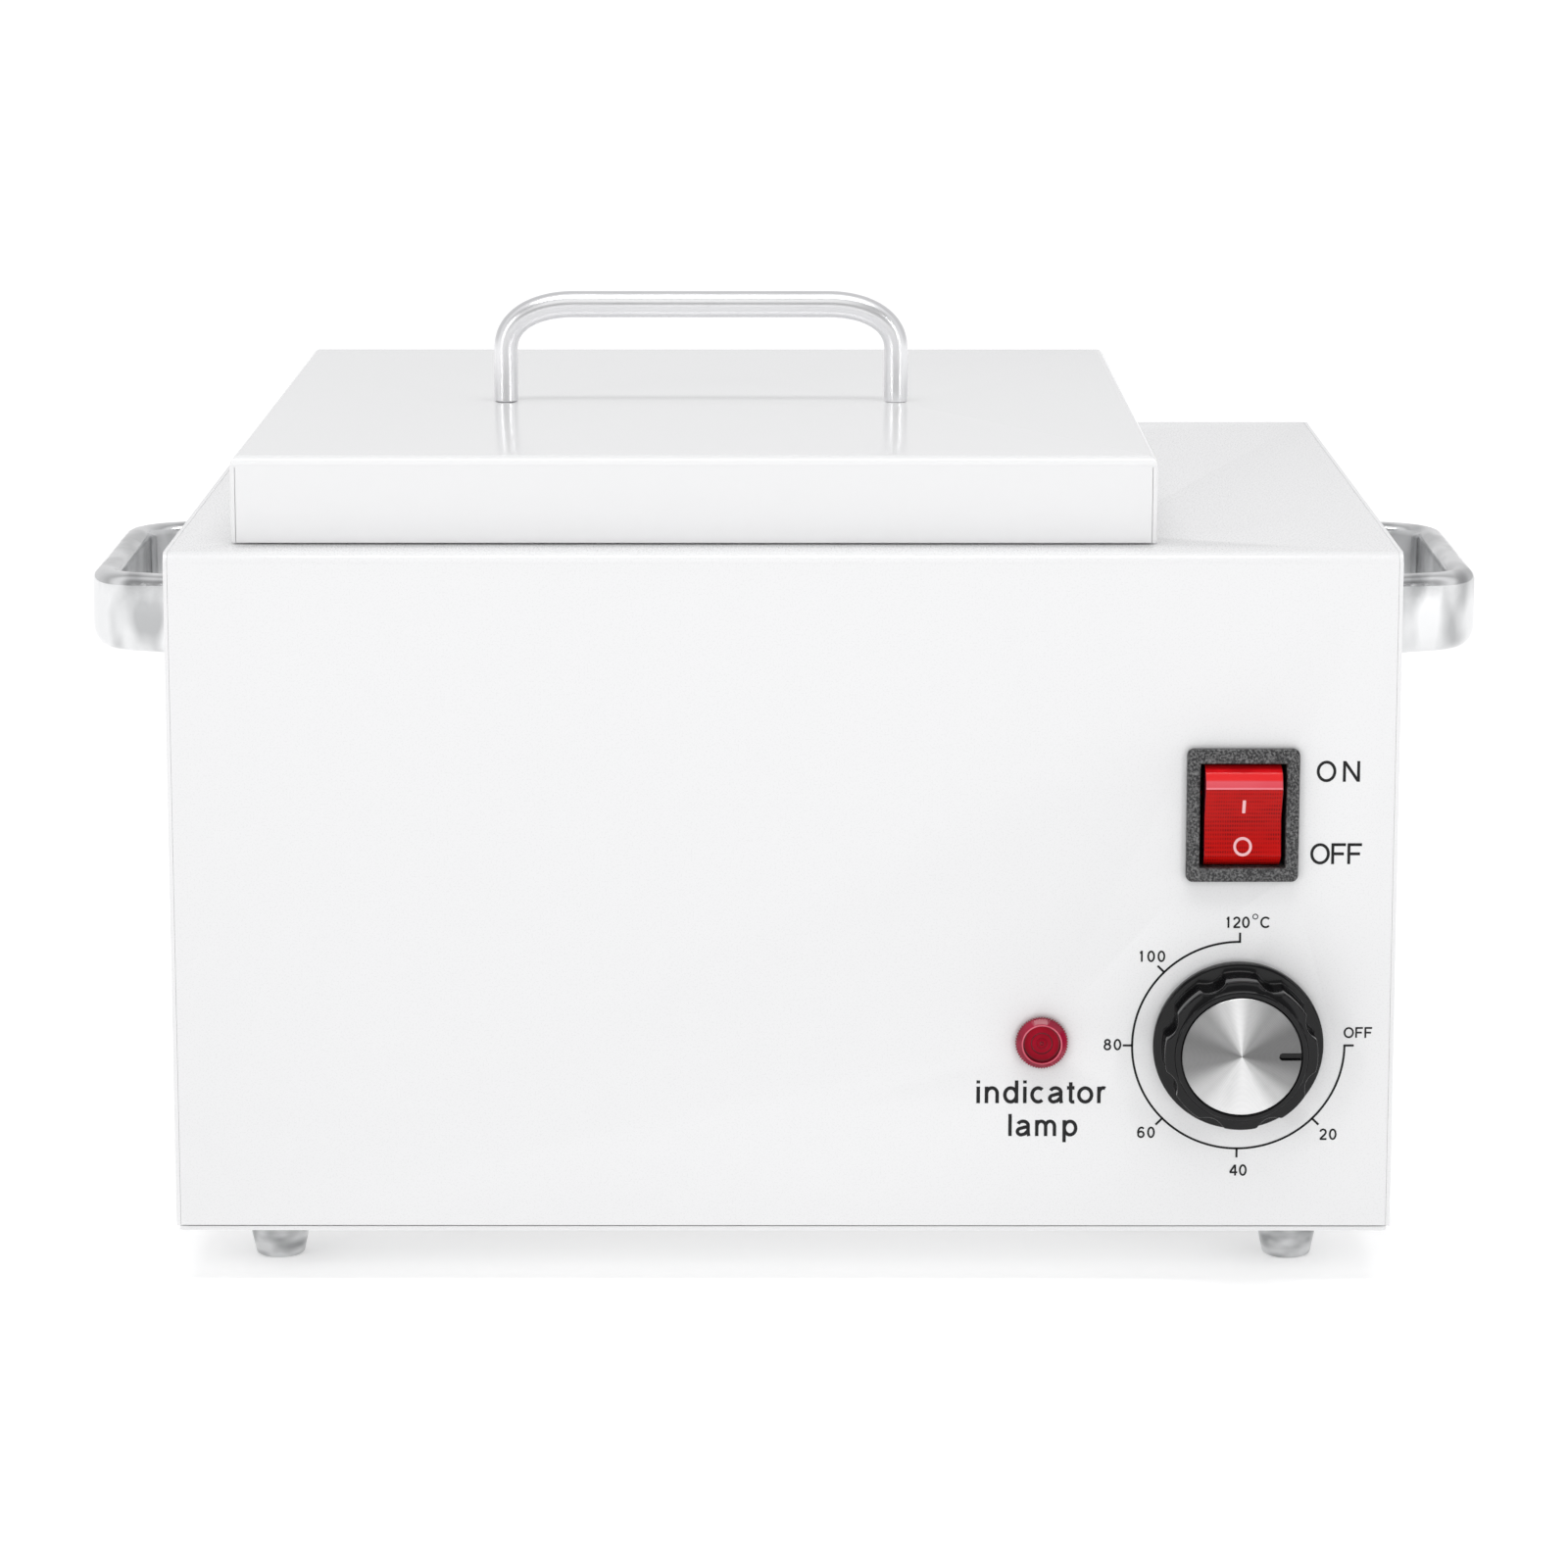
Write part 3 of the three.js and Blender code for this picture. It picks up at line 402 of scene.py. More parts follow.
WHITE = powder_coat("white_powder_coat", (0.845, 0.846, 0.85), 0.28)
LID_WHITE = powder_coat("lid_powder_coat", (0.85, 0.851, 0.855), 0.16, 0.02)
CHROME = chrome("polished_chrome")
# painted reflections: the handle castings' colour is patched dark and light
CAST = chrome_painted_patches("cast_chrome", (0.44, 0.445, 0.45), (0.78, 0.785, 0.79), 0.14, (150, 60, 60))
BOW = satin("polished_stainless_rod", (0.86, 0.86, 0.87), 0.30)
# painted reflections: the feet's colour is patched dark and light, and darker towards the top
FOOT = chrome_painted_patches("foot_chrome", (0.08, 0.085, 0.09), (0.66, 0.665, 0.67), 0.07, (130, 130, 240), (6.0, 11.0))
STAINLESS = brushed("brushed_stainless", (0.62, 0.62, 0.63), 0.26, "x")
ZINC = brushed("zinc_plated_steel", (0.60, 0.61, 0.63), 0.3, "z", 0.08)
BRASS = brushed("brass", (0.72, 0.56, 0.28), 0.28, "y", 0.08)
COPPER = brushed("copper", (0.74, 0.42, 0.26), 0.3, "y", 0.08)
PHENOLIC = plastic("black_phenolic", (0.004, 0.004, 0.0045), 0.09, 500, 0.03, 0.00001, 0.15, 0.0)
PHENOLIC.node_tree.nodes["Principled BSDF"].inputs["Specular IOR Level"].default_value = 0.3
PIN_DARK = plastic("dark_plastic", (0.03, 0.03, 0.032), 0.42)
INLET_BLACK = plastic("inlet_black_plastic", (0.022, 0.022, 0.024), 0.38, 1800, 0.12, 0.00003)
CERAMIC = plastic("steatite", (0.80, 0.77, 0.68), 0.45, 500, 0.1, 0.00005, 0.05)
TERMINAL = plastic("terminal_plastic", (0.78, 0.75, 0.66), 0.4)
MICA = plastic("mica", (0.36, 0.29, 0.18), 0.5, 120, 0.2, 0.0001, 0.25)
INK = plastic("printed_ink", (0.010, 0.010, 0.011), 0.5, 900, 0.05, 0.00001, 0.2)
INK.node_tree.nodes["Principled BSDF"].inputs["Specular IOR Level"].default_value = 0.25


def switch_black():
    """Spark-eroded mould texture: coarse grain, whose sparkle is painted into the colour as lighter grey flecks,
    painted glints.
    """
    m, nt, b = material("black_textured_plastic")
    v = coords(nt)
    g1, g2 = noise(nt, v, 1900.0, 2.0, 0.6), noise(nt, v, 4200.0, 1.0)
    # painted glints: lighter grey flecks in the colour, over the real bump and roughness
    nt.links.new(mix(nt, remap(nt, g1, 0, 1, 0.42, 0.70), (0.012, 0.012, 0.013), (0.19, 0.19, 0.19)), b.inputs["Base Color"])
    nt.links.new(remap(nt, g2, 0.35, 0.6), b.inputs["Roughness"])
    bump(nt, b, [(g1, 0.8, 0.0002), (g2, 0.3, 0.00005)])
    return m


SWITCH_BLACK = switch_black()


def machined(name, c, rough, ring_scale=900.0):
    """Milled aluminium: fine overlapping tool arcs."""
    m, nt, b = material(name)
    v = coords(nt, (1, 1, 1))
    w = node(nt, "ShaderNodeTexWave", Scale=ring_scale / 6.2832, Distortion=2.0, Detail=2.0, Detail_Scale=1.0)
    w.wave_type, w.bands_direction = "BANDS", "X"
    nt.links.new(v, w.inputs["Vector"])
    n = noise(nt, v, 220.0, 4.0)
    big = noise(nt, v, 14.0, 2.0)
    nt.links.new(mix(nt, remap(nt, big, 0, 1), tuple(x * 0.9 for x in c), c), b.inputs["Base Color"])
    nt.links.new(remap(nt, n, rough - 0.06, rough + 0.08), b.inputs["Roughness"])
    b.inputs["Metallic"].default_value = 1.0
    bump(nt, b, [(w.outputs["Fac"], 0.12, 0.00004), (n, 0.06, 0.00004)])
    return m


BLOCK = machined("block_aluminium", (0.66, 0.67, 0.68), 0.34)


def spun(name):
    """Face-turned aluminium: fine rings, with light and dark wedges painted into the colour by angle round the axis, as
    painted highlights of a turned face.
    """
    m, nt, b = material(name)
    tc = nt.nodes.new("ShaderNodeTexCoord")
    mp = nt.nodes.new("ShaderNodeMapping")
    mp.inputs["Location"].default_value = (-104.6 * MM, 0, -57.2 * MM)
    nt.links.new(tc.outputs["Object"], mp.inputs["Vector"])
    w = node(nt, "ShaderNodeTexWave", Scale=1150.0, Distortion=0.6, Detail=1.0)
    w.wave_type, w.rings_direction = "RINGS", "Y"
    nt.links.new(mp.outputs["Vector"], w.inputs["Vector"])
    sep = nt.nodes.new("ShaderNodeSeparateXYZ")
    nt.links.new(mp.outputs["Vector"], sep.inputs["Vector"])
    ang = maths(nt, "ARCTAN2", sep.outputs["X"], sep.outputs["Z"])        # 0 at the top, clockwise
    turn01 = maths(nt, "ADD", maths(nt, "DIVIDE", ang, 2 * math.pi), 0.5)    # 0.5 at the top
    # painted highlights: light and dark wedges by angle round the axis, in the base colour
    painted_glint_fan = nt.nodes.new("ShaderNodeValToRGB")
    nt.links.new(turn01, painted_glint_fan.inputs["Fac"])
    stops = ((0.0, 1.0), (0.07, 0.92), (0.13, 0.62), (0.22, 0.26), (0.30, 0.22), (0.38, 0.40), (0.445, 0.75), (0.485, 1.0), (0.53, 0.66), (0.60, 0.36),
             (0.68, 0.20), (0.76, 0.19), (0.83, 0.34), (0.885, 0.66), (0.94, 0.97), (1.0, 1.0))
    els = painted_glint_fan.color_ramp.elements
    els[0].color, els[1].color = (*(stops[0][1],) * 3, 1), (*(stops[-1][1],) * 3, 1)
    for pos, g in stops[1:-1]:
        els.new(pos).color = (g, g, g, 1)
    painted_glint_fan.color_ramp.interpolation = "EASE"
    fine = nt.nodes.new("ShaderNodeMix")
    fine.data_type, fine.blend_type = "RGBA", "MULTIPLY"
    fine.inputs["Factor"].default_value = 0.22
    nt.links.new(painted_glint_fan.outputs["Color"], fine.inputs["A"])
    nt.links.new(w.outputs["Color"], fine.inputs["B"])
    nt.links.new(fine.outputs["Result"], b.inputs["Base Color"])
    n = noise(nt, mp.outputs["Vector"], 1500.0, 2.0)
    nt.links.new(remap(nt, n, 0.34, 0.42), b.inputs["Roughness"])
    b.inputs["Metallic"].default_value = 1.0
    b.inputs["Anisotropic"].default_value = 0.9
    b.inputs["Anisotropic Rotation"].default_value = 0.25
    t = nt.nodes.new("ShaderNodeTangent")
    t.direction_type, t.axis = "RADIAL", "Y"
    nt.links.new(t.outputs["Tangent"], b.inputs["Tangent"])
    return m


SPUN = spun("spun_aluminium")


def tinted(name, c, dark, rough, transmission, emit, grain=700.0, gloss=0.5):
    m, nt, b = material(name)
    v = coords(nt)
    n = noise(nt, v, 160.0, 3.0)
    g = noise(nt, v, grain, 2.0)
    nt.links.new(mix(nt, remap(nt, n, 0, 1), dark, c), b.inputs["Base Color"])
    nt.links.new(remap(nt, g, rough * 0.7, rough * 1.3), b.inputs["Roughness"])
    b.inputs["IOR"].default_value = 1.49
    b.inputs["Transmission Weight"].default_value = transmission
    # emit paints a glow: emission standing in for light let through the translucent plastic
    b.inputs["Emission Color"].default_value = (*c, 1)
    b.inputs["Emission Strength"].default_value = emit
    b.inputs["Specular IOR Level"].default_value = gloss
    bump(nt, b, [(g, 0.04, 0.00002)])
    return m


def rocker_red():
    """Red translucent rocker: the fine grid of the diffuser behind its face shows through."""
    m, nt, b = material("red_translucent_plastic")
    v = coords(nt)
    rows = node(nt, "ShaderNodeTexWave", Scale=314.0, Distortion=0.3, Detail=1.0)
    rows.wave_type, rows.bands_direction = "BANDS", "Z"
    cols = node(nt, "ShaderNodeTexWave", Scale=571.0, Distortion=0.2, Detail=1.0)
    cols.wave_type, cols.bands_direction = "BANDS", "X"
    nt.links.new(v, rows.inputs["Vector"])
    nt.links.new(v, cols.inputs["Vector"])
    dots = maths(nt, "MULTIPLY", rows.outputs["Fac"], cols.outputs["Fac"])
    blot = noise(nt, coords(nt, (150, 150, 330)), 1.0, 2.0)
    both = maths(nt, "MULTIPLY", dots, remap(nt, blot, 0.35, 1.0, 0.35, 0.62))
    nt.links.new(mix(nt, both, (0.50, 0.005, 0.004), (0.07, 0.001, 0.002)), b.inputs["Base Color"])
    nt.links.new(remap(nt, noise(nt, v, 900.0), 0.16, 0.26), b.inputs["Roughness"])
    b.inputs["Specular IOR Level"].default_value = 0.12
    # painted glow: a faint emission stands in for light let through the red plastic
    b.inputs["Emission Color"].default_value = (0.75, 0.012, 0.008, 1)
    b.inputs["Emission Strength"].default_value = 0.03
    return m


ROCKER_RED = rocker_red()


def rocker_edge_painted_light(z0, z1):
    """The chamfer along the top of the rocker, lighter than its face as painted light: a painted highlight line at its
    foot, a paler pink band, clear red above.
    """
    m, nt, b = material("red_translucent_edge_painted_light")
    v = coords(nt)
    xyz = node(nt, "ShaderNodeSeparateXYZ")
    nt.links.new(v, xyz.inputs[0])
    ramp = node(nt, "ShaderNodeValToRGB")
    els = ramp.color_ramp.elements
    els[0].position, els[0].color = 0.0, (0.80, 0.22, 0.26, 1)
    els[1].position, els[1].color = 1.0, (0.72, 0.018, 0.020, 1)
    for at, c in ((0.10, (0.80, 0.22, 0.26, 1)), (0.15, (0.66, 0.070, 0.095, 1)), (0.48, (0.68, 0.085, 0.11, 1)), (0.58, (0.72, 0.020, 0.022, 1))):
        els.new(at).color = c
    nt.links.new(remap(nt, xyz.outputs["Z"], 0, 1, z0, z1), ramp.inputs[0])
    nt.links.new(ramp.outputs[0], b.inputs["Base Color"])
    g = noise(nt, v, 700.0, 2.0)
    nt.links.new(remap(nt, g, 0.12, 0.20), b.inputs["Roughness"])
    b.inputs["Specular IOR Level"].default_value = 0.3
    # painted glow: a faint emission stands in for light let through the red plastic
    b.inputs["Emission Color"].default_value = (0.7, 0.03, 0.04, 1)
    b.inputs["Emission Strength"].default_value = 0.05
    bump(nt, b, [(g, 0.04, 0.00002)])
    return m


# Lit and shaded copies of the rocker's red: a lighter one with a painted glow for the top, as painted light, and a
# darker one for the sides, as painted shade.
ROCKER_TOP_PAINTED_LIGHT = tinted("red_translucent_top_painted_light", (0.68, 0.006, 0.010), (0.50, 0.003, 0.006), 0.2, 0.0, 0.08)
ROCKER_SIDE_PAINTED_SHADE = tinted("red_translucent_side_painted_shade", (0.20, 0.008, 0.02), (0.12, 0.004, 0.012), 0.2, 0.0, 0.0)
CRIMSON = tinted("crimson_translucent_plastic", (0.38, 0.008, 0.040), (0.22, 0.004, 0.024), 0.12, 0.0, 0.0, gloss=0.35)
# painted glow: the lens core emits faintly though the bulb stays dark
CRIMSON_DEEP = tinted("crimson_translucent_core", (0.45, 0.003, 0.024), (0.28, 0.002, 0.014), 0.16, 0.0, 0.04, gloss=0.08)
# painted shade for the groove round the dish and the dish's small rings
CRIMSON_PAINTED_SHADE = tinted("crimson_groove_painted_shade", (0.16, 0.002, 0.010), (0.10, 0.001, 0.007), 0.2, 0.0, 0.0)
# painted highlight on the raised lip ring round the dish
CRIMSON_PAINTED_HIGHLIGHT = tinted("crimson_lip_painted_highlight", (0.72, 0.16, 0.22), (0.55, 0.06, 0.10), 0.12, 0.0, 0.0)
PINK = plastic("marking_pink_white", (0.86, 0.50, 0.52), 0.35, 900, 0.04, 0.00001, 0.04)
GLOW = tinted("neon_glass", (0.80, 0.55, 0.45), (0.6, 0.4, 0.3), 0.08, 0.5, 0.0)


def wool():
    m, nt, b = material("glass_wool")
    v = coords(nt)
    n1, n2 = noise(nt, v, 300.0, 6.0, 0.7), noise(nt, coords(nt, (60, 60, 900)), 1.0, 5.0)
    nt.links.new(mix(nt, remap(nt, n1, 0, 1), (0.60, 0.55, 0.42), (0.80, 0.77, 0.66)), b.inputs["Base Color"])
    b.inputs["Roughness"].default_value = 0.95
    nt.links.new(remap(nt, n1, 0.88, 1.0), b.inputs["Roughness"])
    bump(nt, b, [(n1, 0.7, 0.0006), (n2, 0.5, 0.0006)])
    return m


WOOL = wool()


def wire_mat(name, c):
    return plastic(name, c, 0.42, 700, 0.06, 0.00003, 0.08)

# ------------------------------------------------------------------ driving sizes, as in the CAD
HW, D, TOP, BOT = 140.5, 240.0, 171.2, 13.8
LX0, LX1, LY0, LY1, LZ0, LTOP = -126.4, 85.6, 13.1, 233.5, 171.5, 191.5
CX, CY = (LX0 + LX1) / 2, (LY0 + LY1) / 2
SWX, SWZ = 104.9, 110.9
DX, DZ = 104.6, 57.2
IX, IZ = 59.5, 57.5
PX, PZ = 95.0, 46.0


# ------------------------------------------------------------------ casing
def u_profile(inset, bottom, r, n=14):
    top = TOP - inset
    return ([(inset, bottom)] + arc(inset + r, top - r, r, 180, 90, n)
            + arc(D - inset - r, top - r, r, 90, 0, n) + [(D - inset, bottom)])


def make_casing():
    shell_x = HW - 0.93
    ob = prism("casing_sheet", u_profile(0, BOT, 2.8) + list(reversed(u_profile(1.2, BOT, 1.6))), -shell_x, shell_x, "x")
    tools = [
        prism("t", round_rect(CX, CY, 188, 196, 8, 10), TOP - 5, TOP + 5, "z"),
        cube("t", SWX - 11.3, SWX + 11.3, -3, 4, SWZ - 14.3, SWZ + 14.3),
        revolve("t", [(0, -3), (5, -3), (5, 4), (0, 4)], "y", (IX, IZ), 48),
        revolve("t", [(0, -3), (5, -3), (5, 4), (0, 4)], "y", (DX, DZ), 48),
        prism("t", round_rect(PX, PZ, 27.6, 20.6, 1.5, 4), D - 4, D + 3, "y"),
    ]
    tools += [prism("t", round_rect(86 + 7 * i, 110, 3, 34, 1.49, 8), D - 4, D + 3, "y") for i in range(7)]
    boolean(ob, tools)
    bevel(ob, 0.12, 2, 60)
    settle(ob, "housing", WHITE, ["casing_shell"])


def make_side(name, s):
    pts = u_profile(0, BOT, 2.8)
    a, b = HW - 0.9, HW
    ob = prism(name + "_sheet", pts, min(s * a, s * b), max(s * a, s * b), "x")
    flange = cube("t", min(s * (HW - 11.9), s * (HW - 0.45)), max(s * (HW - 11.9), s * (HW - 0.45)), 1.5, D - 1.5, BOT, BOT + 0.9)
    boolean(ob, [flange], "UNION")
    tools = [revolve("t", [(0, min(s * (HW - 3), s * (HW + 1))), (1.9, min(s * (HW - 3), s * (HW + 1))),
                           (1.9, max(s * (HW - 3), s * (HW + 1))), (0, max(s * (HW - 3), s * (HW + 1)))], "x", (y, 144.8), 24) for y in (75.3, 170.1)]
    boolean(ob, tools)
    bevel(ob, 0.18, 3, 60)
    settle(ob, "housing", WHITE, [name])


def make_base():
    ob = prism("base_sheet", round_rect(0, D / 2, 280, 239.4, 1.5, 5), 12.5, 13.5, "z")
    tools = []
    for x in (-119, 119):
        for y in (26, 214):
            tools.append(revolve("t", [(0, 10), (2.3, 10), (2.3, 16), (0, 16)], "z", (x, y), 24))
    for i in range(5):
        for y in (62, 178):
            tools.append(prism("t", round_rect(82 + 9 * i, y, 3.2, 30, 1.59, 8), 10, 16, "z"))
    boolean(ob, tools)
    bevel(ob, 0.2, 2, 60)
    settle(ob, "housing", WHITE, ["base_plate"])


make_casing()
make_side("left_side_panel", -1)
make_side("right_side_panel", 1)
make_base()


# ------------------------------------------------------------------ feet
def phillips(cx, cy, z0, depth, size, axis="z"):
    """A cross recess, as two tapering bars joined."""
    def bar(w, l):
        f = AX[axis]
        rings = []
        for h, k in ((z0 - 0.3 * (1 if depth > 0 else -1), 1.05), (z0 + depth, 0.55)):
            rings.append([f(cx + sx * l / 2 * k, cy + sy * w / 2 * k, h) for sx, sy in ((-1, -1), (1, -1), (1, 1), (-1, 1))])
        return loft("t", rings)
    a, b = bar(size * 0.26, size), bar(size, size * 0.26)
    return [a, b]


for where, x, y in (("front_left", -119, 26), ("front_right", 119, 26), ("rear_left", -119, 214), ("rear_right", 119, 214)):
    top = 12.2
    prof = [(0, 5.0), (3.3, 5.0), (3.3, 0.25), (3.55, 0.0), (4.7, 0.0)]
    prof += [(4.7 + 1.15 * math.sin(math.radians(a)), 1.15 - 1.15 * math.cos(math.radians(a))) for a in range(15, 85, 10)]
    prof += [(5.93, 1.5), (6.6, 4.6), (7.3, 8.0), (7.9, 10.6), (8.1, 11.5), (8.2, 12.0), (8.05, top), (0, top)]
    ob = revolve("foot_cup_" + where, prof, "z", (x, y), 72)
    settle(ob, "housing", FOOT, ["foot_" + where])
    head = revolve("foot_bolt_" + where, [(0, 2.55), (1.6, 2.6), (2.6, 2.95), (3.0, 3.5), (3.0, 4.7), (1.8, 4.7), (1.8, 20), (0, 20)], "z", (x, y), 40)
    boolean(head, phillips(x, y, 2.55, 1.2, 3.0))
    settle(head, "housing", ZINC, ["foot_screw_" + where])


# ------------------------------------------------------------------ carry handles
def make_carry(side, s):
    t, z0, z1, outer = 6.6, 135.3, 154.3, 168.0
    grip = outer - t / 2
    y0, y1 = 71.2, 174.2
    pts = [(HW - 4, y0 + 2.2, 0), (grip, y0 + 12.0, 0), (grip, y1 - 12.0, 0), (HW - 4, y1 - 2.2, 0)]
    path = resample(fillet_path(pts, [12.5, 12.5], 16), 2.5)
    rings = []
    total = sum((b - a).length for a, b in zip(path, path[1:]))
    run = 0.0
    for i, p in enumerate(path):
        if i:
            run += (path[i] - path[i - 1]).length
        tan = (path[min(i + 1, len(path) - 1)] - path[max(i - 1, 0)]).normalized()
        nrm = Vector((tan.y, -tan.x, 0))          # outwards
        w = min(run, total - run)
        k = min(1.0, max(0.0, (w - 8) / 22))
        k = k * k * (3 - 2 * k)                   # legs are squarer than the grip
        rb, rt, ri = 2.4 + 3.0 * k, 2.3 + 0.6 * k, 1.9 + 0.9 * k
        sec = []
        hz = (z1 - z0) / 2
        # outer top, inner top, inner bottom, outer bottom
        for (sx, sz, r, a0) in ((1, 1, rt, 0), (-1, 1, ri, 90), (-1, -1, ri, 180), (1, -1, rb, 270)):
            r = min(r, t / 2 - 0.02) if sx > 0 or True else r
            rz = r if not (sx > 0 and sz < 0) else rb
            for q in range(7):
                a = math.radians(a0 + 15 * q)
                sec.append((sx * (t / 2 - r) + r * math.cos(a), sz * (hz - rz) + rz * math.sin(a)))
        # a slight crown on the faces
        ring = []
        for u, v in sec:
            crown = 0.25 * (1 - (v / hz) ** 2) * (1 if u > 0 else -1) * k
            q = p + nrm * (u + crown)
            ring.append((s * min(q.x, 1e9), q.y, (z0 + z1) / 2 + v))
        rings.append(ring)
    ob = loft(side + "_grip_casting", rings)
    lo, hi = sorted((s * (HW + 0.12), s * (outer + 30)))
    keep = cube("t", lo, hi, 0, D, 100, 180)
    boolean(ob, [keep], "INTERSECT")
    lo, hi = sorted((s * (HW - 3), s * (HW + 6)))
    boolean(ob, [revolve("t", [(0, lo), (1.75, lo), (1.75, hi), (0, hi)], "x", (y, 144.8), 24) for y in (75.3, 170.1)])
    settle(ob, "housing", CAST, [side + "_carry_handle"], 40)


make_carry("left", -1)
make_carry("right", 1)
for side, s in (("left", -1), ("right", 1)):
    for end, y in (("front", 75.3), ("rear", 170.1)):
        inner = HW - 1.2
        prof = [(0, s * (inner - 2.6)), (1.6, s * (inner - 2.55)), (2.8, s * (inner - 2.1)), (3.4, s * (inner - 1.2)), (3.4, s * inner), (1.4, s * inner), (1.4, s * (HW + 5)), (0, s * (HW + 5))]
        ob = revolve(f"{side}_grip_bolt_{end}", prof, "x", (y, 144.8), 32)
        settle(ob, "housing", ZINC, [f"{side}_carry_handle_screw_{end}"])


# ------------------------------------------------------------------ lid
def plan(x0, x1, y0, y1, inset, r, z, seg=6):
    r = max(r - inset, 0.03)
    return [(a, b, z) for a, b in round_rect((x0 + x1) / 2, (y0 + y1) / 2, x1 - x0 - 2 * inset, y1 - y0 - 2 * inset, r, seg)]


def make_lid():
    R, t, r = 2.5, 1.2, 0.7
    rings = []
    # inside, from the ceiling down to the rim
    zi = LTOP - t
    rings.append(plan(LX0, LX1, LY0, LY1, t + 1.3, 0, zi))
    for a in range(15, 91, 15):
        q = math.radians(a)
        rings.append(plan(LX0, LX1, LY0, LY1, t + 1.3 * (1 - math.sin(q)), 0, zi - 1.3 * (1 - math.cos(q))))
    rings.append(plan(LX0, LX1, LY0, LY1, t, 0, LZ0 + 0.2))
    rings.append(plan(LX0, LX1, LY0, LY1, t - 0.2, 0.0, LZ0))
    rings.append(plan(LX0, LX1, LY0, LY1, 0.25, r, LZ0))
    rings.append(plan(LX0, LX1, LY0, LY1, 0, r, LZ0 + 0.25))
    for a in range(0, 91, 9):
        q = math.radians(a)
        rings.append(plan(LX0, LX1, LY0, LY1, R * (1 - math.cos(q)), r, LTOP - R + R * math.sin(q)))
    ob = loft("lid_pan", rings)
    # seams where the folded flaps meet at the corners
    tools = []
    for x in (LX0 + 1.25, LX1 - 1.25):
        for y0, y1 in ((LY0 - 1, LY0 + 0.45), (LY1 - 0.45, LY1 + 1)):
            tools.append(cube("t", x - 0.09, x + 0.09, y0, y1, LZ0 - 1, LTOP - R))
    for s in (-1, 1):
        tools.append(revolve("t", [(0, LTOP - 4), (2.1, LTOP - 4), (2.1, LTOP + 4), (0, LTOP + 4)], "z", (CX + s * 48, 116.5), 32))
    boolean(ob, tools)
    settle(ob, "lid", LID_WHITE, ["lid_shell"], 25)


make_lid()


def make_bow():
    hz, hx, z0 = LTOP + 24.0, 48.0, LTOP + 0.08
    pts = []
    n = 26
    def bez(p0, p1, p2, p3, m):
        return [tuple((1 - q) ** 3 * a + 3 * q * (1 - q) ** 2 * b + 3 * q * q * (1 - q) * c + q ** 3 * d for a, b, c, d in zip(p0, p1, p2, p3)) for q in [i / m for i in range(m + 1)]]
    line = [(-hx, z0 + (hz - 11 - z0) * i / 8) for i in range(8)]
    line += bez((-hx, hz - 11), (-hx, hz - 4), (-hx + 7, hz), (-hx + 17, hz), n)
    line += [(-hx + 17 + (2 * hx - 34) * i / 14, hz) for i in range(1, 14)]
    line += bez((hx - 17, hz), (hx - 7, hz), (hx, hz - 4), (hx, hz - 11), n)
    line += [(hx, hz - 11 - (hz - 11 - z0) * (i + 1) / 8) for i in range(8)]
    rings = []
    m = 40
    for i, (x, z) in enumerate(line):
        a, b = line[max(0, i - 1)], line[min(len(line) - 1, i + 1)]
        tx, tz = b[0] - a[0], b[1] - a[1]
        l = math.hypot(tx, tz)
        tx, tz = tx / l, tz / l
        up = max(0.0, min(1.0, (z - (hz - 11)) / 11))
        r = 2.95 + 0.33 * up * up
        if i in (0, len(line) - 1):
            r -= 0.3
        ring = []
        for k in range(m):
            q = 2 * math.pi * k / m
            u, v = r * math.cos(q), r * math.sin(q)
            ring.append((CX + x - tz * u, 116.5 + v, z + tx * u))
        rings.append(ring)
        if i == 0:      # small chamfer at the foot
            ring2 = []
            for k in range(m):
                q = 2 * math.pi * k / m
                ring2.append((CX + x - tz * 2.95 * math.cos(q), 116.5 + 2.95 * math.sin(q), z + 0.3))
            rings.append(ring2)
        if i == len(line) - 2:
            pass
    ob = loft("lid_bow", rings)
    tools = [revolve("t", [(0, LTOP - 2), (2.0, LTOP - 2), (2.0, LTOP + 10), (0, LTOP + 10)], "z", (CX + s * hx, 116.5), 24) for s in (-1, 1)]
    boolean(ob, tools)
    settle(ob, "lid", BOW, ["lid_handle"], 40)
    for side, s in (("left", -1), ("right", 1)):
        z = LTOP - 1.2
        b = revolve("lid_bolt_" + side, [(0, z - 3.0), (1.6, z - 2.95), (2.9, z - 2.5), (3.6, z - 1.4), (3.6, z - 0.05), (1.7, z - 0.05), (1.7, LTOP + 9), (0, LTOP + 9)], "z", (CX + s * hx, 116.5), 48)
        boolean(b, phillips(CX + s * hx, 116.5, z - 3.0, 1.3, 3.6))
        settle(b, "lid", ZINC, ["lid_handle_screw_" + side])


make_bow()


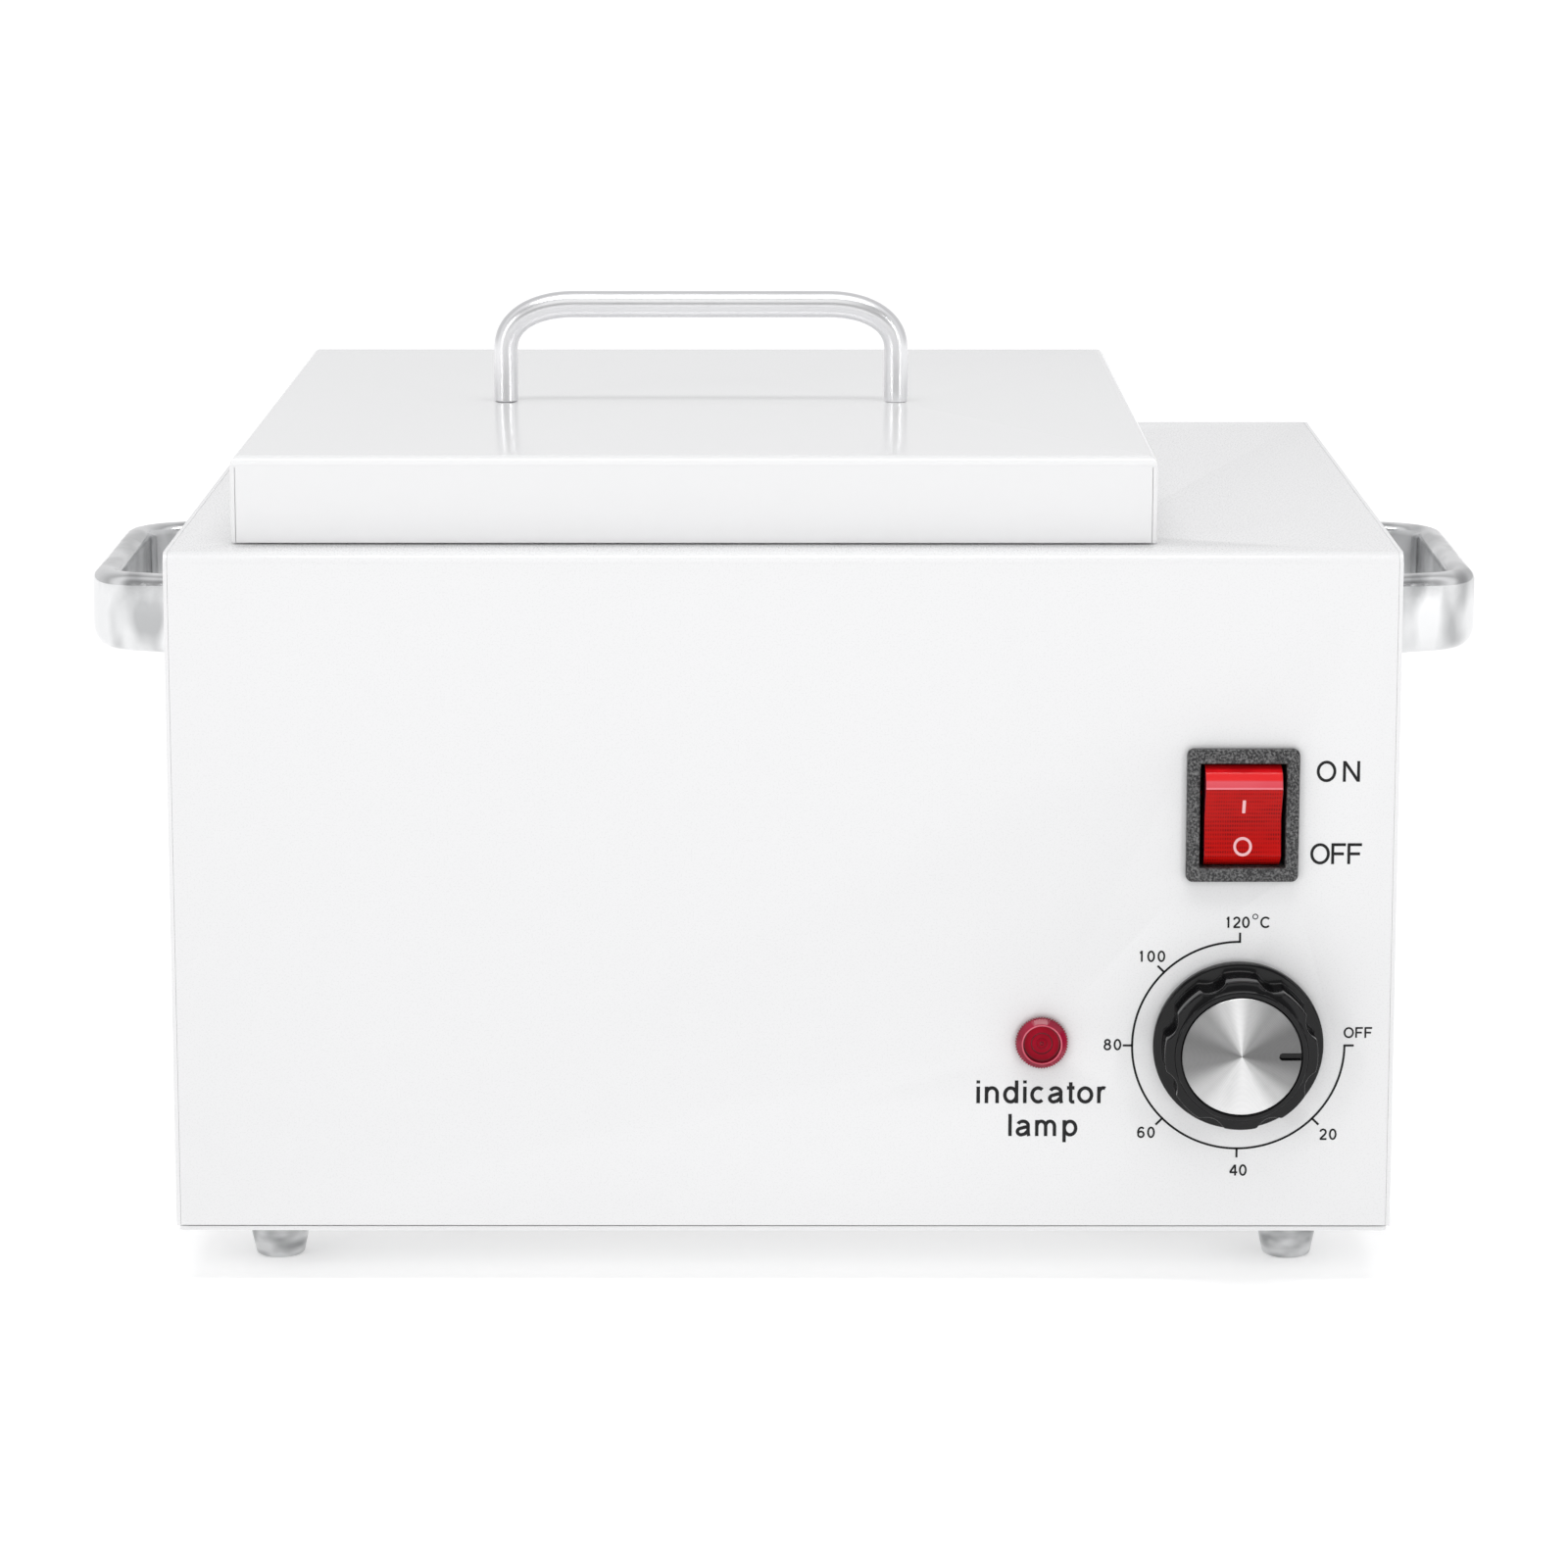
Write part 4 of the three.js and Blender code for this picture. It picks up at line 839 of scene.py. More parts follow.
# ------------------------------------------------------------------ well collar and block
def make_collar():
    def ring(w, d, r, z, seg=8):
        return [(a, b, z) for a, b in round_rect(CX, CY, w, d, r, seg)]
    # a closed loop of rings: flange top, bend, inner wall, lower edge, outer wall, flange underside
    wi, di = 185.4, 193.4
    loop = [ring(206, 214, 6, 171.75), ring(205.7, 213.7, 5.9, 172.25)]
    for a in range(0, 91, 15):
        q = math.radians(a)
        e = 2.4 * (1 - math.sin(q))
        loop.append(ring(wi + 2 * e, di + 2 * e, 6.7 + e, 172.3 - 2.4 + 2.4 * math.cos(q)))
    loop += [ring(wi, di, 6.7, 141.2), ring(wi + 0.4, di + 0.4, 6.9, 141.0), ring(wi + 1.2, di + 1.2, 7.3, 141.0), ring(wi + 1.6, di + 1.6, 7.5, 141.2),
             ring(wi + 1.6, di + 1.6, 7.5, 171.0), ring(wi + 2.2, di + 2.2, 7.6, 171.5), ring(205.6, 213.6, 5.8, 171.5)]
    n = len(loop[0])
    verts = [v for r in loop for v in r]
    faces = []
    for i in range(len(loop)):
        a, b = i * n, ((i + 1) % len(loop)) * n
        for k in range(n):
            l = (k + 1) % n
            faces.append([a + k, a + l, b + l, b + k])
    ob = new_obj("well_surround", verts, faces)
    settle(ob, "housing", STAINLESS, ["well_collar"])


make_collar()


def make_block():
    ob = prism("tube_block", round_rect(CX, CY, 184, 192, 6, 8), 66, 147, "z")
    bevel(ob, 0.8, 2, 60)
    tools = []
    for i in range(4):
        for j in range(3):
            x, y = CX + 44 * (i - 1.5), CY + 60 * (j - 1)
            tools.append(revolve("t", [(0, 74), (10.4, 74), (12.6, 74.6), (14.0, 76.0), (14.75, 78.5), (14.75, 146.0), (15.95, 147.2), (15.95, 149), (0, 149)], "z", (x, y), 64))
    tools.append(revolve("t", [(0, 71.6 - 92), (3.5, 71.6 - 92), (3.5, 71.6 + 5), (0, 71.6 + 5)], "x", (CY + 30, 84), 24))
    boolean(ob, tools)
    settle(ob, "housing", BLOCK, ["heating_block"])


make_block()


# ------------------------------------------------------------------ knob
def knob_radius(theta, r_lobe, r_scallop):
    a = abs(((math.degrees(theta) + 22.5) % 45) - 22.5)     # from the nearest lobe's centre
    flat = 12.2
    if a <= flat:
        return r_lobe
    t = (a - flat) / (22.5 - flat)
    return r_lobe - (r_lobe - r_scallop) * (1 - (1 - t) ** 2)


def make_knob():
    seg = 8 * 36
    rings = []
    def ring(fn, h):
        if fn == 0:
            rings.append([(DX, h, DZ)])
            return
        out = []
        for i in range(seg):
            t = 2 * math.pi * i / seg
            r = fn(t) if callable(fn) else fn
            out.append((DX + r * math.cos(t), h, DZ + r * math.sin(t)))
        rings.append(out)
    lobe = lambda inset: (lambda t: knob_radius(t, 17.6 - inset, 16.2 - inset))
    # inside: bore, hub, cavity, skirt edge
    ring(0, -10.9); ring(3.35, -10.9); ring(3.35, -0.8); ring(6.0, -0.8); ring(6.0, -8.0); ring(15.2, -8.0); ring(15.2, -0.8)
    ring(19.35, -0.8); ring(19.6, -1.05); ring(19.6, -2.35)
    for a in (20, 40, 60, 80):
        q = math.radians(a)
        ring(19.6 - 0.55 * (1 - math.cos(q)), -2.35 - 0.55 * math.sin(q))
    ring(18.9, -2.92)
    # foot of the crown with a small fillet, wall, rounded front edge
    for a in (0, 25, 50, 75, 90):
        q = math.radians(a)
        ring(lobe(-0.45 * (1 - math.sin(q))), -2.98 - 0.45 * (1 - math.cos(q)))
    ring(lobe(0.0), -6.0); ring(lobe(0.05), -9.0); ring(lobe(0.1), -11.75)
    for a in (15, 30, 45, 60, 75, 90):
        q = math.radians(a)
        ring(lobe(0.1 + 0.45 * (1 - math.cos(q))), -11.75 - 0.45 * math.sin(q))
    # flat front, raised ring, recess for the cap
    ring(15.45, -12.24); ring(15.3, -12.3)
    for a in (30, 60, 90):
        q = math.radians(a)
        ring(15.2 - 0.35 * (1 - math.cos(q)), -12.55 - 0.42 * math.sin(q))
    ring(14.4, -13.0); ring(13.95, -12.9); ring(13.75, -12.6); ring(13.75, -11.75); ring(0, -11.75)
    ob = loft("dial_knob", rings)
    settle(ob, "knob", PHENOLIC, ["knob_body"], 38)
    cap = revolve("dial_cap", [(0, -12.45), (13.45, -12.45), (13.6, -12.6), (13.6, -12.95), (13.5, -13.08), (13.3, -13.13), (9, -13.16), (4, -13.18), (0, -13.19)], "y", (DX, DZ), 128)
    slot = prism("t", [(DX + 15, DZ - 0.9), (DX + 15, DZ + 0.9)] + [(DX + 9.4 + 0.9 * math.cos(math.radians(a)), DZ + 0.9 * math.sin(math.radians(a))) for a in range(90, 271, 15)], -15, -12, "y")
    boolean(cap, [slot])
    settle(cap, "knob", SPUN, ["knob_cap"], 30)


make_knob()


# ------------------------------------------------------------------ indicator lamp
def make_lamp():
    teeth = 58
    seg = teeth * 6
    def knurl(t, r, h):
        if r < 5.9:
            return r
        p = (t * teeth / (2 * math.pi)) % 1.0
        return r - 0.4 * abs(2 * p - 1) ** 1.3
    prof = [(0, 8.0), (4.7, 8.0), (4.7, -0.1), (5.6, -0.1), (6.05, -0.25), (6.08, -0.5), (6.08, -1.15), (5.92, -1.42), (5.75, -1.52),
            (4.82, -2.62), (4.66, -2.76), (4.5, -2.8), (4.34, -2.76), (4.24, -2.6)]
    ob = revolve("lamp_lens", prof + [(4.12, -1.62), (3.95, -1.5), (2.55, -1.46), (2.45, -1.34), (2.3, -1.32), (2.2, -1.44), (1.3, -1.42), (1.2, -1.34), (1.05, -1.34), (0.95, -1.44), (0.45, -1.46), (0.25, -1.62), (0, -1.68)],
                 "y", (IX, IZ), seg, knurl)
    me = ob.data
    core = me.materials
    settle(ob, "housing", [CRIMSON, CRIMSON_DEEP, CRIMSON_PAINTED_SHADE, CRIMSON_PAINTED_HIGHLIGHT], ["indicator_lens"], 28)
    # painted shade in the groove and along the dish's small rings, and a painted highlight on the raised lip ring
    for p in ob.data.polygons:
        c = p.center
        r = math.hypot(c.x / MM - IX, c.z / MM - IZ)
        if (c.y - YF) / MM < 0 and r < 4.7:
            p.material_index = 2 if 3.95 < r < 4.3 or 2.3 < r < 2.56 or 1.2 < r < 1.32 or 0.25 < r < 0.45 else 3 if r >= 4.3 else 1


make_lamp()


# ------------------------------------------------------------------ rocker switch
def turn(points, py, pz, deg):
    c, s = math.cos(math.radians(deg)), math.sin(math.radians(deg))
    return [(py + (y - py) * c - (z - pz) * s, pz + (y - py) * s + (z - pz) * c) for y, z in points]


def make_switch():
    def ring(w, h, r, y, seg=6):
        return [(a, y, b) for a, b in round_rect(SWX, SWZ, w, h, max(r, 0.02), seg)]
    W, H = 25.7, 30.9
    ow, oh = 19.6, 24.2
    rings = [ring(W - 0.1, H - 0.1, 1.5, -0.06), ring(W, H, 1.55, -0.2), ring(W, H, 1.55, -1.15)]
    for a in (20, 45, 70, 90):
        q = math.radians(a)
        rings.append(ring(W - 2 * 0.5 * (1 - math.cos(q)), H - 2 * 0.5 * (1 - math.cos(q)), 1.5, -1.15 - 0.5 * math.sin(q)))
    rings += [ring(W - 2.2, H - 2.2, 1.2, -1.78), ring(ow + 1.3, oh + 1.3, 0.7, -2.0), ring(ow + 0.5, oh + 0.5, 0.35, -2.0), ring(ow + 0.1, oh + 0.1, 0.2, -1.9),
              ring(ow, oh, 0.2, -1.7), ring(ow, oh, 0.2, 24.0)]
    # the body behind the panel closes the loop
    ob = loft("switch_frame", rings[:-1] + [rings[-1]])
    body = cube("t", SWX - 11, SWX + 11, -0.08, 27, SWZ - 14, SWZ + 14)
    bevel(body, 0.5, 2, 60)
    # the loft above is capped flat at both ends, so it is cut from a full block instead
    bpy.data.objects.remove(ob)
    outer = loft("switch_frame", rings[:-3] + [ring(ow + 0.2, oh + 0.2, 0.2, -2.0)])
    boolean(outer, [body] + [cube("t", SWX - 3.1, SWX + 3.1, 26.5, 35, SWZ + z - 0.4, SWZ + z + 0.4) for z in (-7, 7)], "UNION")
    well = loft("t", [ring(ow + 0.9, oh + 0.9, 0.3, -2.4), ring(ow + 0.02, oh + 0.02, 0.2, -1.72), ring(ow, oh, 0.2, 24.0)])
    boolean(outer, [well])
    settle(outer, "housing", SWITCH_BLACK, ["switch_housing"], 30)


make_switch()


def make_rocker():
    front = []
    # front face of the level rocker, top to bottom: two slightly hollow flats that meet in a soft ridge
    edge = 8.15
    def f(z):
        a = abs(z) / edge
        return -1.35 - 2.37 * a ** 1.15
    top = [(f(edge), edge), (-2.5, 9.95), (-1.05, 11.3), (1.0, 11.7), (3.0, 11.7), (8.0, 9.0)]
    prof = [(f(z), z) for z in [i * edge / 14 for i in range(0, 14)]] + top
    prof += [(8.0, 1.6), (13.6, 1.0), (13.9, 0.0), (13.6, -1.0), (8.0, -1.6)]
    prof += [(y, -z) for y, z in reversed(top)] + [(f(z), z) for z in [-i * edge / 14 for i in range(13, 0, -1)]]
    prof = turn([(y, z + SWZ) for y, z in prof], 3.0, SWZ, 11)
    (foot,), (tip,) = turn([(f(edge), edge + SWZ)], 3.0, SWZ, 11), turn([(-1.05, 11.3 + SWZ)], 3.0, SWZ, 11)
    chamfer = rocker_edge_painted_light(foot[1] * MM, tip[1] * MM)
    ob = prism("rocker_paddle", prof, SWX - 8.8, SWX + 8.8, "x")
    bevel(ob, 0.2, 3, 22)
    settle(ob, "rocker", [ROCKER_RED, chamfer, ROCKER_SIDE_PAINTED_SHADE, ROCKER_TOP_PAINTED_LIGHT], ["switch_rocker"], 25)
    c, s = math.cos(math.radians(-11)), math.sin(math.radians(-11))
    # faces sorted by the way they face: the sides get the darker copy as painted shade, the upward chamfer and the top
    # the lighter ones as painted light
    for p in ob.data.polygons:
        n = p.normal
        ny, nz = n.y * c - n.z * s, n.y * s + n.z * c      # in the level rocker's frame
        if abs(n.x) > 0.7:
            p.material_index = 2
        elif nz > 0.9 and p.center.z / MM > SWZ + 6:
            p.material_index = 3
        elif nz > 0.42 and p.center.z / MM > SWZ + 6:
            p.material_index = 1
    # moulded-in markings: a bar and a ring, inlaid a hair proud of the face
    def inlay(name, pts2, hole=None):
        """pts2 is an outline on the rocker face, (x, z) about the switch centre at the level position."""
        def place(x, z, lift):
            y = f(z) - lift
            (yy, zz), = turn([(y, z + SWZ)], 3.0, SWZ, 11)
            return (SWX + x, yy, zz)
        n = len(pts2)
        if hole is None:
            verts = [place(x, z, 0.06) for x, z in pts2] + [place(x, z, -0.08) for x, z in pts2]
            faces = [list(range(n)), list(range(n, 2 * n))] + [[i, (i + 1) % n, n + (i + 1) % n, n + i] for i in range(n)]
        else:
            verts = [place(x, z, 0.06) for x, z in pts2] + [place(x, z, 0.06) for x, z in hole] + [place(x, z, -0.08) for x, z in pts2] + [place(x, z, -0.08) for x, z in hole]
            faces = []
            for i in range(n):
                j = (i + 1) % n
                faces += [[i, j, n + j, n + i], [2 * n + i, 2 * n + j, 3 * n + j, 3 * n + i], [i, j, 2 * n + j, 2 * n + i], [n + i, n + j, 3 * n + j, 3 * n + i]]
        o = new_obj(name, verts, faces)
        settle(o, "rocker", PINK, ())
    bar = round_rect(0.1, 3.45, 0.72, 3.6, 0.2, 3)
    inlay("rocker_mark_bar", [(x, z) for x, z in bar])
    n = 56
    inlay("rocker_mark_ring", [(2.12 * math.cos(2 * math.pi * i / n), -6.05 + 2.1 * math.sin(2 * math.pi * i / n)) for i in range(n)],
          [(1.52 * math.cos(2 * math.pi * i / n), -6.05 + 1.5 * math.sin(2 * math.pi * i / n)) for i in range(n)])


make_rocker()


# ------------------------------------------------------------------ print on the front panel
def ell(cx, cz, rx, rz, a0, a1, n=22):
    return [(cx + rx * math.cos(math.radians(a0 + (a1 - a0) * i / n)), cz + rz * math.sin(math.radians(a0 + (a1 - a0) * i / n))) for i in range(n + 1)]


# advance width and centre lines of each character, in cap heights
GLYPHS = {
    "O": (1.04, [ell(.52, .5, .395, .445, 0, 360, 40)]),
    "C": (1.008, [ell(.52, .5, .40, .445, 42, 318, 34)]),
    "N": (1.008, [[(.17, 0), (.17, 1)], [(.84, 0), (.84, 1)], [(.19, .96), (.82, .04)]]),
    "F": (.853, [[(.17, 0), (.17, 1)], [(.12, .945), (.79, .945)], [(.12, .50), (.70, .50)]]),
    "0": (.776, [ell(.388, .5, .262, .445, 0, 360, 36)]),
    "1": (.776, [[(.47, 0), (.47, 1)], ell(.17, 1.02, .30, .26, 0, -62, 8)]),
    "2": (.776, [ell(.385, .70, .245, .245, 172, -22, 20) + [(.52, .46), (.30, .25), (.14, .07)], [(.09, .055), (.70, .055)]]),
    "4": (.776, [[(.53, 0), (.53, 1)], [(.50, .965), (.08, .31)], [(.04, .295), (.72, .295)]]),
    "6": (.776, [ell(.40, .315, .255, .26, 0, 360, 30), ell(.44, .50, .30, .445, 48, 190, 18)]),
    "8": (.776, [ell(.388, .745, .21, .20, 0, 360, 28), ell(.388, .295, .262, .245, 0, 360, 30)]),
    "i": (.31, [[(.155, 0), (.155, .725)], [(.155, .87), (.155, 1)]]),
    "l": (.31, [[(.155, 0), (.155, 1)]]),
    "n": (.776, [[(.155, 0), (.155, .725)], ell(.385, .43, .225, .24, 175, 0, 16) + [(.61, .2), (.61, 0)]]),
    "d": (.776, [ell(.37, .3625, .25, .305, 0, 360, 30), [(.62, 0), (.62, 1)]]),
    "c": (.698, [ell(.37, .3625, .26, .305, 48, 312, 24)]),
    "a": (.776, [ell(.37, .49, .225, .18, 160, 0, 16) + [(.595, .30), (.60, .12), (.63, 0)], [(.595, .43), (.40, .39)] + ell(.30, .205, .175, .15, 95, 268, 14) + [(.45, .10), (.57, .22)]]),
    "t": (.388, [[(.20, .92), (.20, .17)] + ell(.29, .14, .09, .085, 180, 275, 6) + [(.36, .06)], [(.04, .675), (.36, .675)]]),
    "o": (.776, [ell(.388, .3625, .27, .305, 0, 360, 32)]),
    "r": (.465, [[(.155, 0), (.155, .725)], ell(.34, .44, .18, .235, 178, 62, 10)]),
    "m": (1.163, [[(.155, 0), (.155, .725)], ell(.35, .44, .195, .23, 175, 0, 14) + [(.545, .2), (.545, 0)], ell(.74, .44, .195, .23, 180, 0, 14) + [(.935, .2), (.935, 0)]]),
    "p": (.776, [ell(.41, .3625, .25, .305, 0, 360, 30), [(.155, -.28), (.155, .725)]]),
}


def band(pts, half, place, lo, hi):
    """One stroke of ink with square ends, as a thin closed body."""
    v = [Vector(p) for p in pts]
    loop = (v[0] - v[-1]).length < 1e-6
    if loop:
        v = v[:-1]
    n = len(v)
    left, right = [], []
    for i, p in enumerate(v):
        a = v[i - 1] if (loop or i) else p
        c = v[(i + 1) % n] if (loop or i < n - 1) else p
        u, w = (p - a), (c - p)
        t = ((u.normalized() if u.length else w.normalized()) + (w.normalized() if w.length else u.normalized())).normalized()
        k = 1.0 / max(0.5, t.dot(w.normalized() if w.length else u.normalized()))
        m = Vector((-t.y, t.x)) * half * k
        left.append(p + m)
        right.append(p - m)
    verts = [place(q.x, q.y, y) for y in (lo, hi) for q in left + right]
    faces = []
    for i in range(n if loop else n - 1):
        j = (i + 1) % n
        faces += [[i, j, n + j, n + i], [2 * n + i, 2 * n + j, 3 * n + j, 3 * n + i], [i, j, 2 * n + j, 2 * n + i], [n + i, n + j, 3 * n + j, 3 * n + i]]
    if not loop:
        for i in (0, n - 1):
            faces.append([i, n + i, 3 * n + i, 2 * n + i])
    return new_obj("stroke", verts, faces)


def printed(name, text, x0, x1, z0, z1, weight=0.068):
    """A word fitted to a box on the panel; weight is half the stroke, in cap heights."""
    low = min(min(q[1] for st in GLYPHS[ch][1] for q in st) for ch in text)
    low = low if low < -0.1 else 0.0
    cap = (z1 - z0) / (1.0 - low)
    first = min(q[0] for st in GLYPHS[text[0]][1] for q in st) - weight
    last = max(q[0] for st in GLYPHS[text[-1]][1] for q in st) + weight
    natural = sum(GLYPHS[ch][0] for ch in text[:-1]) + last - first
    gap = ((x1 - x0) / cap - natural) / max(1, len(text) - 1)
    whole, at = None, -first
    for ch in text:
        for st in GLYPHS[ch][1]:
            o = band([(x + at, z) for x, z in st], weight, lambda x, z, y: (x0 + x * cap, y, z0 + (z - low) * cap), -0.012, -0.045)
            if whole is None:
                whole = o
                whole.name = name
            else:
                boolean(whole, [o], "UNION")
        at += GLYPHS[ch][0] + gap
    settle(whole, "housing", INK, (), 60)
    return whole


def strip(name, pts, half):
    """A thin inked line along points (x, z)."""
    v = [Vector((x, z)) for x, z in pts]
    top, bot = [], []
    for i, p in enumerate(v):
        t = (v[min(i + 1, len(v) - 1)] - v[max(i - 1, 0)]).normalized()
        n = Vector((-t.y, t.x)) * half
        top.append(p + n); bot.append(p - n)
    n = len(v)
    verts = [(q.x, y, q.y) for y in (-0.012, -0.042) for q in top + bot]
    faces = []
    for i in range(n - 1):
        faces += [[i, i + 1, n + i + 1, n + i], [2 * n + i, 2 * n + i + 1, 3 * n + i + 1, 3 * n + i],
                  [i, i + 1, 2 * n + i + 1, 2 * n + i], [n + i, n + i + 1, 3 * n + i + 1, 3 * n + i]]
    for i in (0, n - 1):
        faces.append([i, n + i, 3 * n + i, 2 * n + i])
    return new_obj(name, verts, faces)


def make_print():
    R, w, ax, az = 24.45, 0.25, DX + 0.2, DZ - 0.5
    arc_pts = [(ax + R * math.cos(math.radians(a)), az + R * math.sin(math.radians(a))) for a in [90 + 270 * i / 180 for i in range(181)]]
    settle(strip("scale_arc", arc_pts, w), "housing", INK, (), 60)
    for label, a in (("off", 360), ("20", 315), ("40", 270), ("60", 225), ("80", 180), ("100", 135), ("120", 90)):
        q = math.radians(a)
        c, s = math.cos(q), math.sin(q)
        settle(strip("scale_tick_" + label, [(ax + (R - w) * c, az + (R - w) * s), (ax + (R + 2.15) * c, az + (R + 2.15) * s)], w), "housing", INK, (), 60)
    for label, text, x, z, wide, high in (
        ("100", "100", 84.71, 77.73, 6.02, 2.56),
        ("80", "80", 75.83, 56.89, 4.09, 2.56),
        ("60", "60", 83.81, 36.07, 4.09, 2.56),
        ("40", "40", 105.13, 27.07, 4.18, 2.61),
        ("20", "20", 125.79, 35.62, 4.09, 2.56),
        ("off", "OFF", 132.37, 59.75, 6.74, 2.47),
        ("120", "120", 104.22, 85.72, 5.50, 2.56),
        ("celsius", "C", 110.53, 85.72, 2.29, 2.56)):
        printed("scale_" + label, text, x - wide / 2, x + wide / 2, z - high / 2, z + high / 2, 0.085)
    n = 32
    circle = [(0.56 * math.cos(2 * math.pi * i / n), 0.56 * math.sin(2 * math.pi * i / n)) for i in range(n)]
    o = band(circle + circle[:1], 0.115, lambda x, z, y: (108.24 + x, y, 87.06 + z), -0.012, -0.045)
    o.name = "scale_degree_ring"
    settle(o, "housing", INK, (), 60)
    printed("switch_on", "ON", 121.67, 131.56, 118.55, 123.36, 0.070)
    printed("switch_off", "OFF", 120.55, 132.69, 99.36, 104.17, 0.070)
    printed("lamp_caption_1", "indicator", 44.60, 74.71, 43.00, 48.40, 0.076)
    printed("lamp_caption_2", "lamp", 52.01, 67.97, 33.70, 40.42, 0.076)


make_print()


# ------------------------------------------------------------------ power inlet
def make_inlet():
    ob = prism("inlet_moulding", round_rect(PX, PZ, 49, 23, 2.5, 8), D + 0.08, D + 2.4, "y")
    bevel(ob, 0.45, 3, 60)
    body = prism("t", round_rect(PX, PZ, 27, 20, 1.2, 4), D - 17, D + 0.5, "y")
    boolean(ob, [body], "UNION")
    mouth = prism("t", [(PX + x, PZ + z) for x, z in ((-12, -8.2), (12, -8.2), (12, 3.6), (7.6, 8.2), (-7.6, 8.2), (-12, 3.6))], D - 14.5, D + 6, "y")
    bevel(mouth, 0.8, 3, 30)
    lip = loft("t", [[(PX + x * k, y, PZ + z * k) for x, z in ((-12, -8.2), (12, -8.2), (12, 3.6), (7.6, 8.2), (-7.6, 8.2), (-12, 3.6))] for y, k in ((D + 1.6, 0.995), (D + 2.9, 1.09))])
    tools = [mouth, lip]
    for x in (PX - 20, PX + 20):
        tools.append(revolve("t", [(0, D - 9), (1.7, D - 9), (1.7, D + 0.5), (4.1, D + 2.9), (0, D + 2.9)], "y", (x, PZ), 32))
    for dx, dz in ((7, -1.5), (-7, -1.5), (0, 3.4)):
        tools.append(cube("t", PX + dx - 1.3, PX + dx + 1.3, D - 20, D - 12, PZ + dz - 2.3, PZ + dz + 2.3))
    boolean(ob, tools)
    settle(ob, "housing", INLET_BLACK, ["inlet_body"], 30)
    for name, dx, dz in (("live", 7, -1.5), ("neutral", -7, -1.5), ("earth", 0, 3.4)):
        p = cube("inlet_blade_" + name, PX + dx - 1, PX + dx + 1, D - 26, D - 1.0, PZ + dz - 2, PZ + dz + 2)
        bevel(p, 0.45, 3, 60)
        settle(p, "housing", BRASS, ["inlet_pin_" + name])
    for side, x in (("left", PX - 20), ("right", PX + 20)):
        b = revolve("inlet_bolt_" + side, [(0, D - 8), (1.35, D - 8), (1.35, D + 0.75), (2.8, D + 2.2), (2.8, D + 2.3), (0, D + 2.3)], "y", (x, PZ), 40)
        boolean(b, phillips(x, PZ, D + 2.3, -1.2, 3.0, "y"))
        settle(b, "housing", ZINC, ["inlet_screw_" + side])


make_inlet()

# ------------------------------------------------------------------ inside pieces keep their CAD shape, with finishes
INSIDE = {
    "insulation_jacket": WOOL, "heater_plate": MICA, "heater_clamp_plate": STAINLESS, "thermal_cutout": PIN_DARK,
    "thermostat_body": PIN_DARK, "sensor_bulb_and_capillary": COPPER, "thermostat_shaft": BRASS, "terminal_block": TERMINAL,
    "indicator_nut": PIN_DARK, "indicator_base": PIN_DARK, "indicator_bulb": GLOW, "switch_contact_blade": COPPER,
    "thermostat_screw_left": ZINC, "thermostat_screw_right": ZINC,
    "block_standoff_front_left": CERAMIC, "block_standoff_front_right": CERAMIC, "block_standoff_rear_left": CERAMIC, "block_standoff_rear_right": CERAMIC,
    "wire_live": wire_mat("wire_brown", (0.22, 0.10, 0.05)), "wire_switched": wire_mat("wire_brown_2", (0.22, 0.10, 0.05)),
    "wire_neutral": wire_mat("wire_blue", (0.03, 0.12, 0.42)), "wire_heater_neutral": wire_mat("wire_blue_2", (0.03, 0.12, 0.42)),
    "wire_earth": wire_mat("wire_green_yellow", (0.20, 0.42, 0.06)), "wire_heater_live": wire_mat("wire_red", (0.42, 0.03, 0.02)),
    "wire_lamp": wire_mat("wire_black", (0.02, 0.02, 0.02)),
}
for name, m in INSIDE.items():
    ob = NODES[name]
    ob.data.materials.clear()
    ob.data.materials.append(m)

# ------------------------------------------------------------------ stage
def stage_floor():
    m, nt, b = material("floor_paper")
    v = coords(nt)
    n = noise(nt, v, 3.0, 2.0)
    nt.links.new(mix(nt, remap(nt, n, 0, 1), (0.78, 0.78, 0.78), (0.80, 0.80, 0.80)), b.inputs["Base Color"])
    b.inputs["Roughness"].default_value = 1.0
    b.inputs["Specular IOR Level"].default_value = 0.0
    b.inputs["Emission Color"].default_value = (1, 1, 1, 1)
    far = nt.nodes.new("ShaderNodeVectorMath")
    far.operation = "LENGTH"
    nt.links.new(v, far.inputs[0])
    nt.links.new(remap(nt, far.outputs["Value"], 0.37, 0.60, 0.4, 2.0), b.inputs["Emission Strength"])
    # seen only from above, so the underside can be looked at
    back = nt.nodes.new("ShaderNodeNewGeometry")
    clear = nt.nodes.new("ShaderNodeBsdfTransparent")
    pick = nt.nodes.new("ShaderNodeMixShader")
    out = nt.nodes["Material Output"]
    nt.links.new(back.outputs["Backfacing"], pick.inputs["Fac"])
    nt.links.new(b.outputs["BSDF"], pick.inputs[1])
    nt.links.new(clear.outputs["BSDF"], pick.inputs[2])
    nt.links.new(pick.outputs["Shader"], out.inputs["Surface"])
    me = bpy.data.meshes.new("floor")
    me.from_pydata([(-70, -70, 0), (70, -70, 0), (70, 70, 0), (-70, 70, 0)], [], [(0, 1, 2, 3)])
    fl = bpy.data.objects.new("floor", me)
    scene.collection.objects.link(fl)
    me.materials.append(m)


stage_floor()


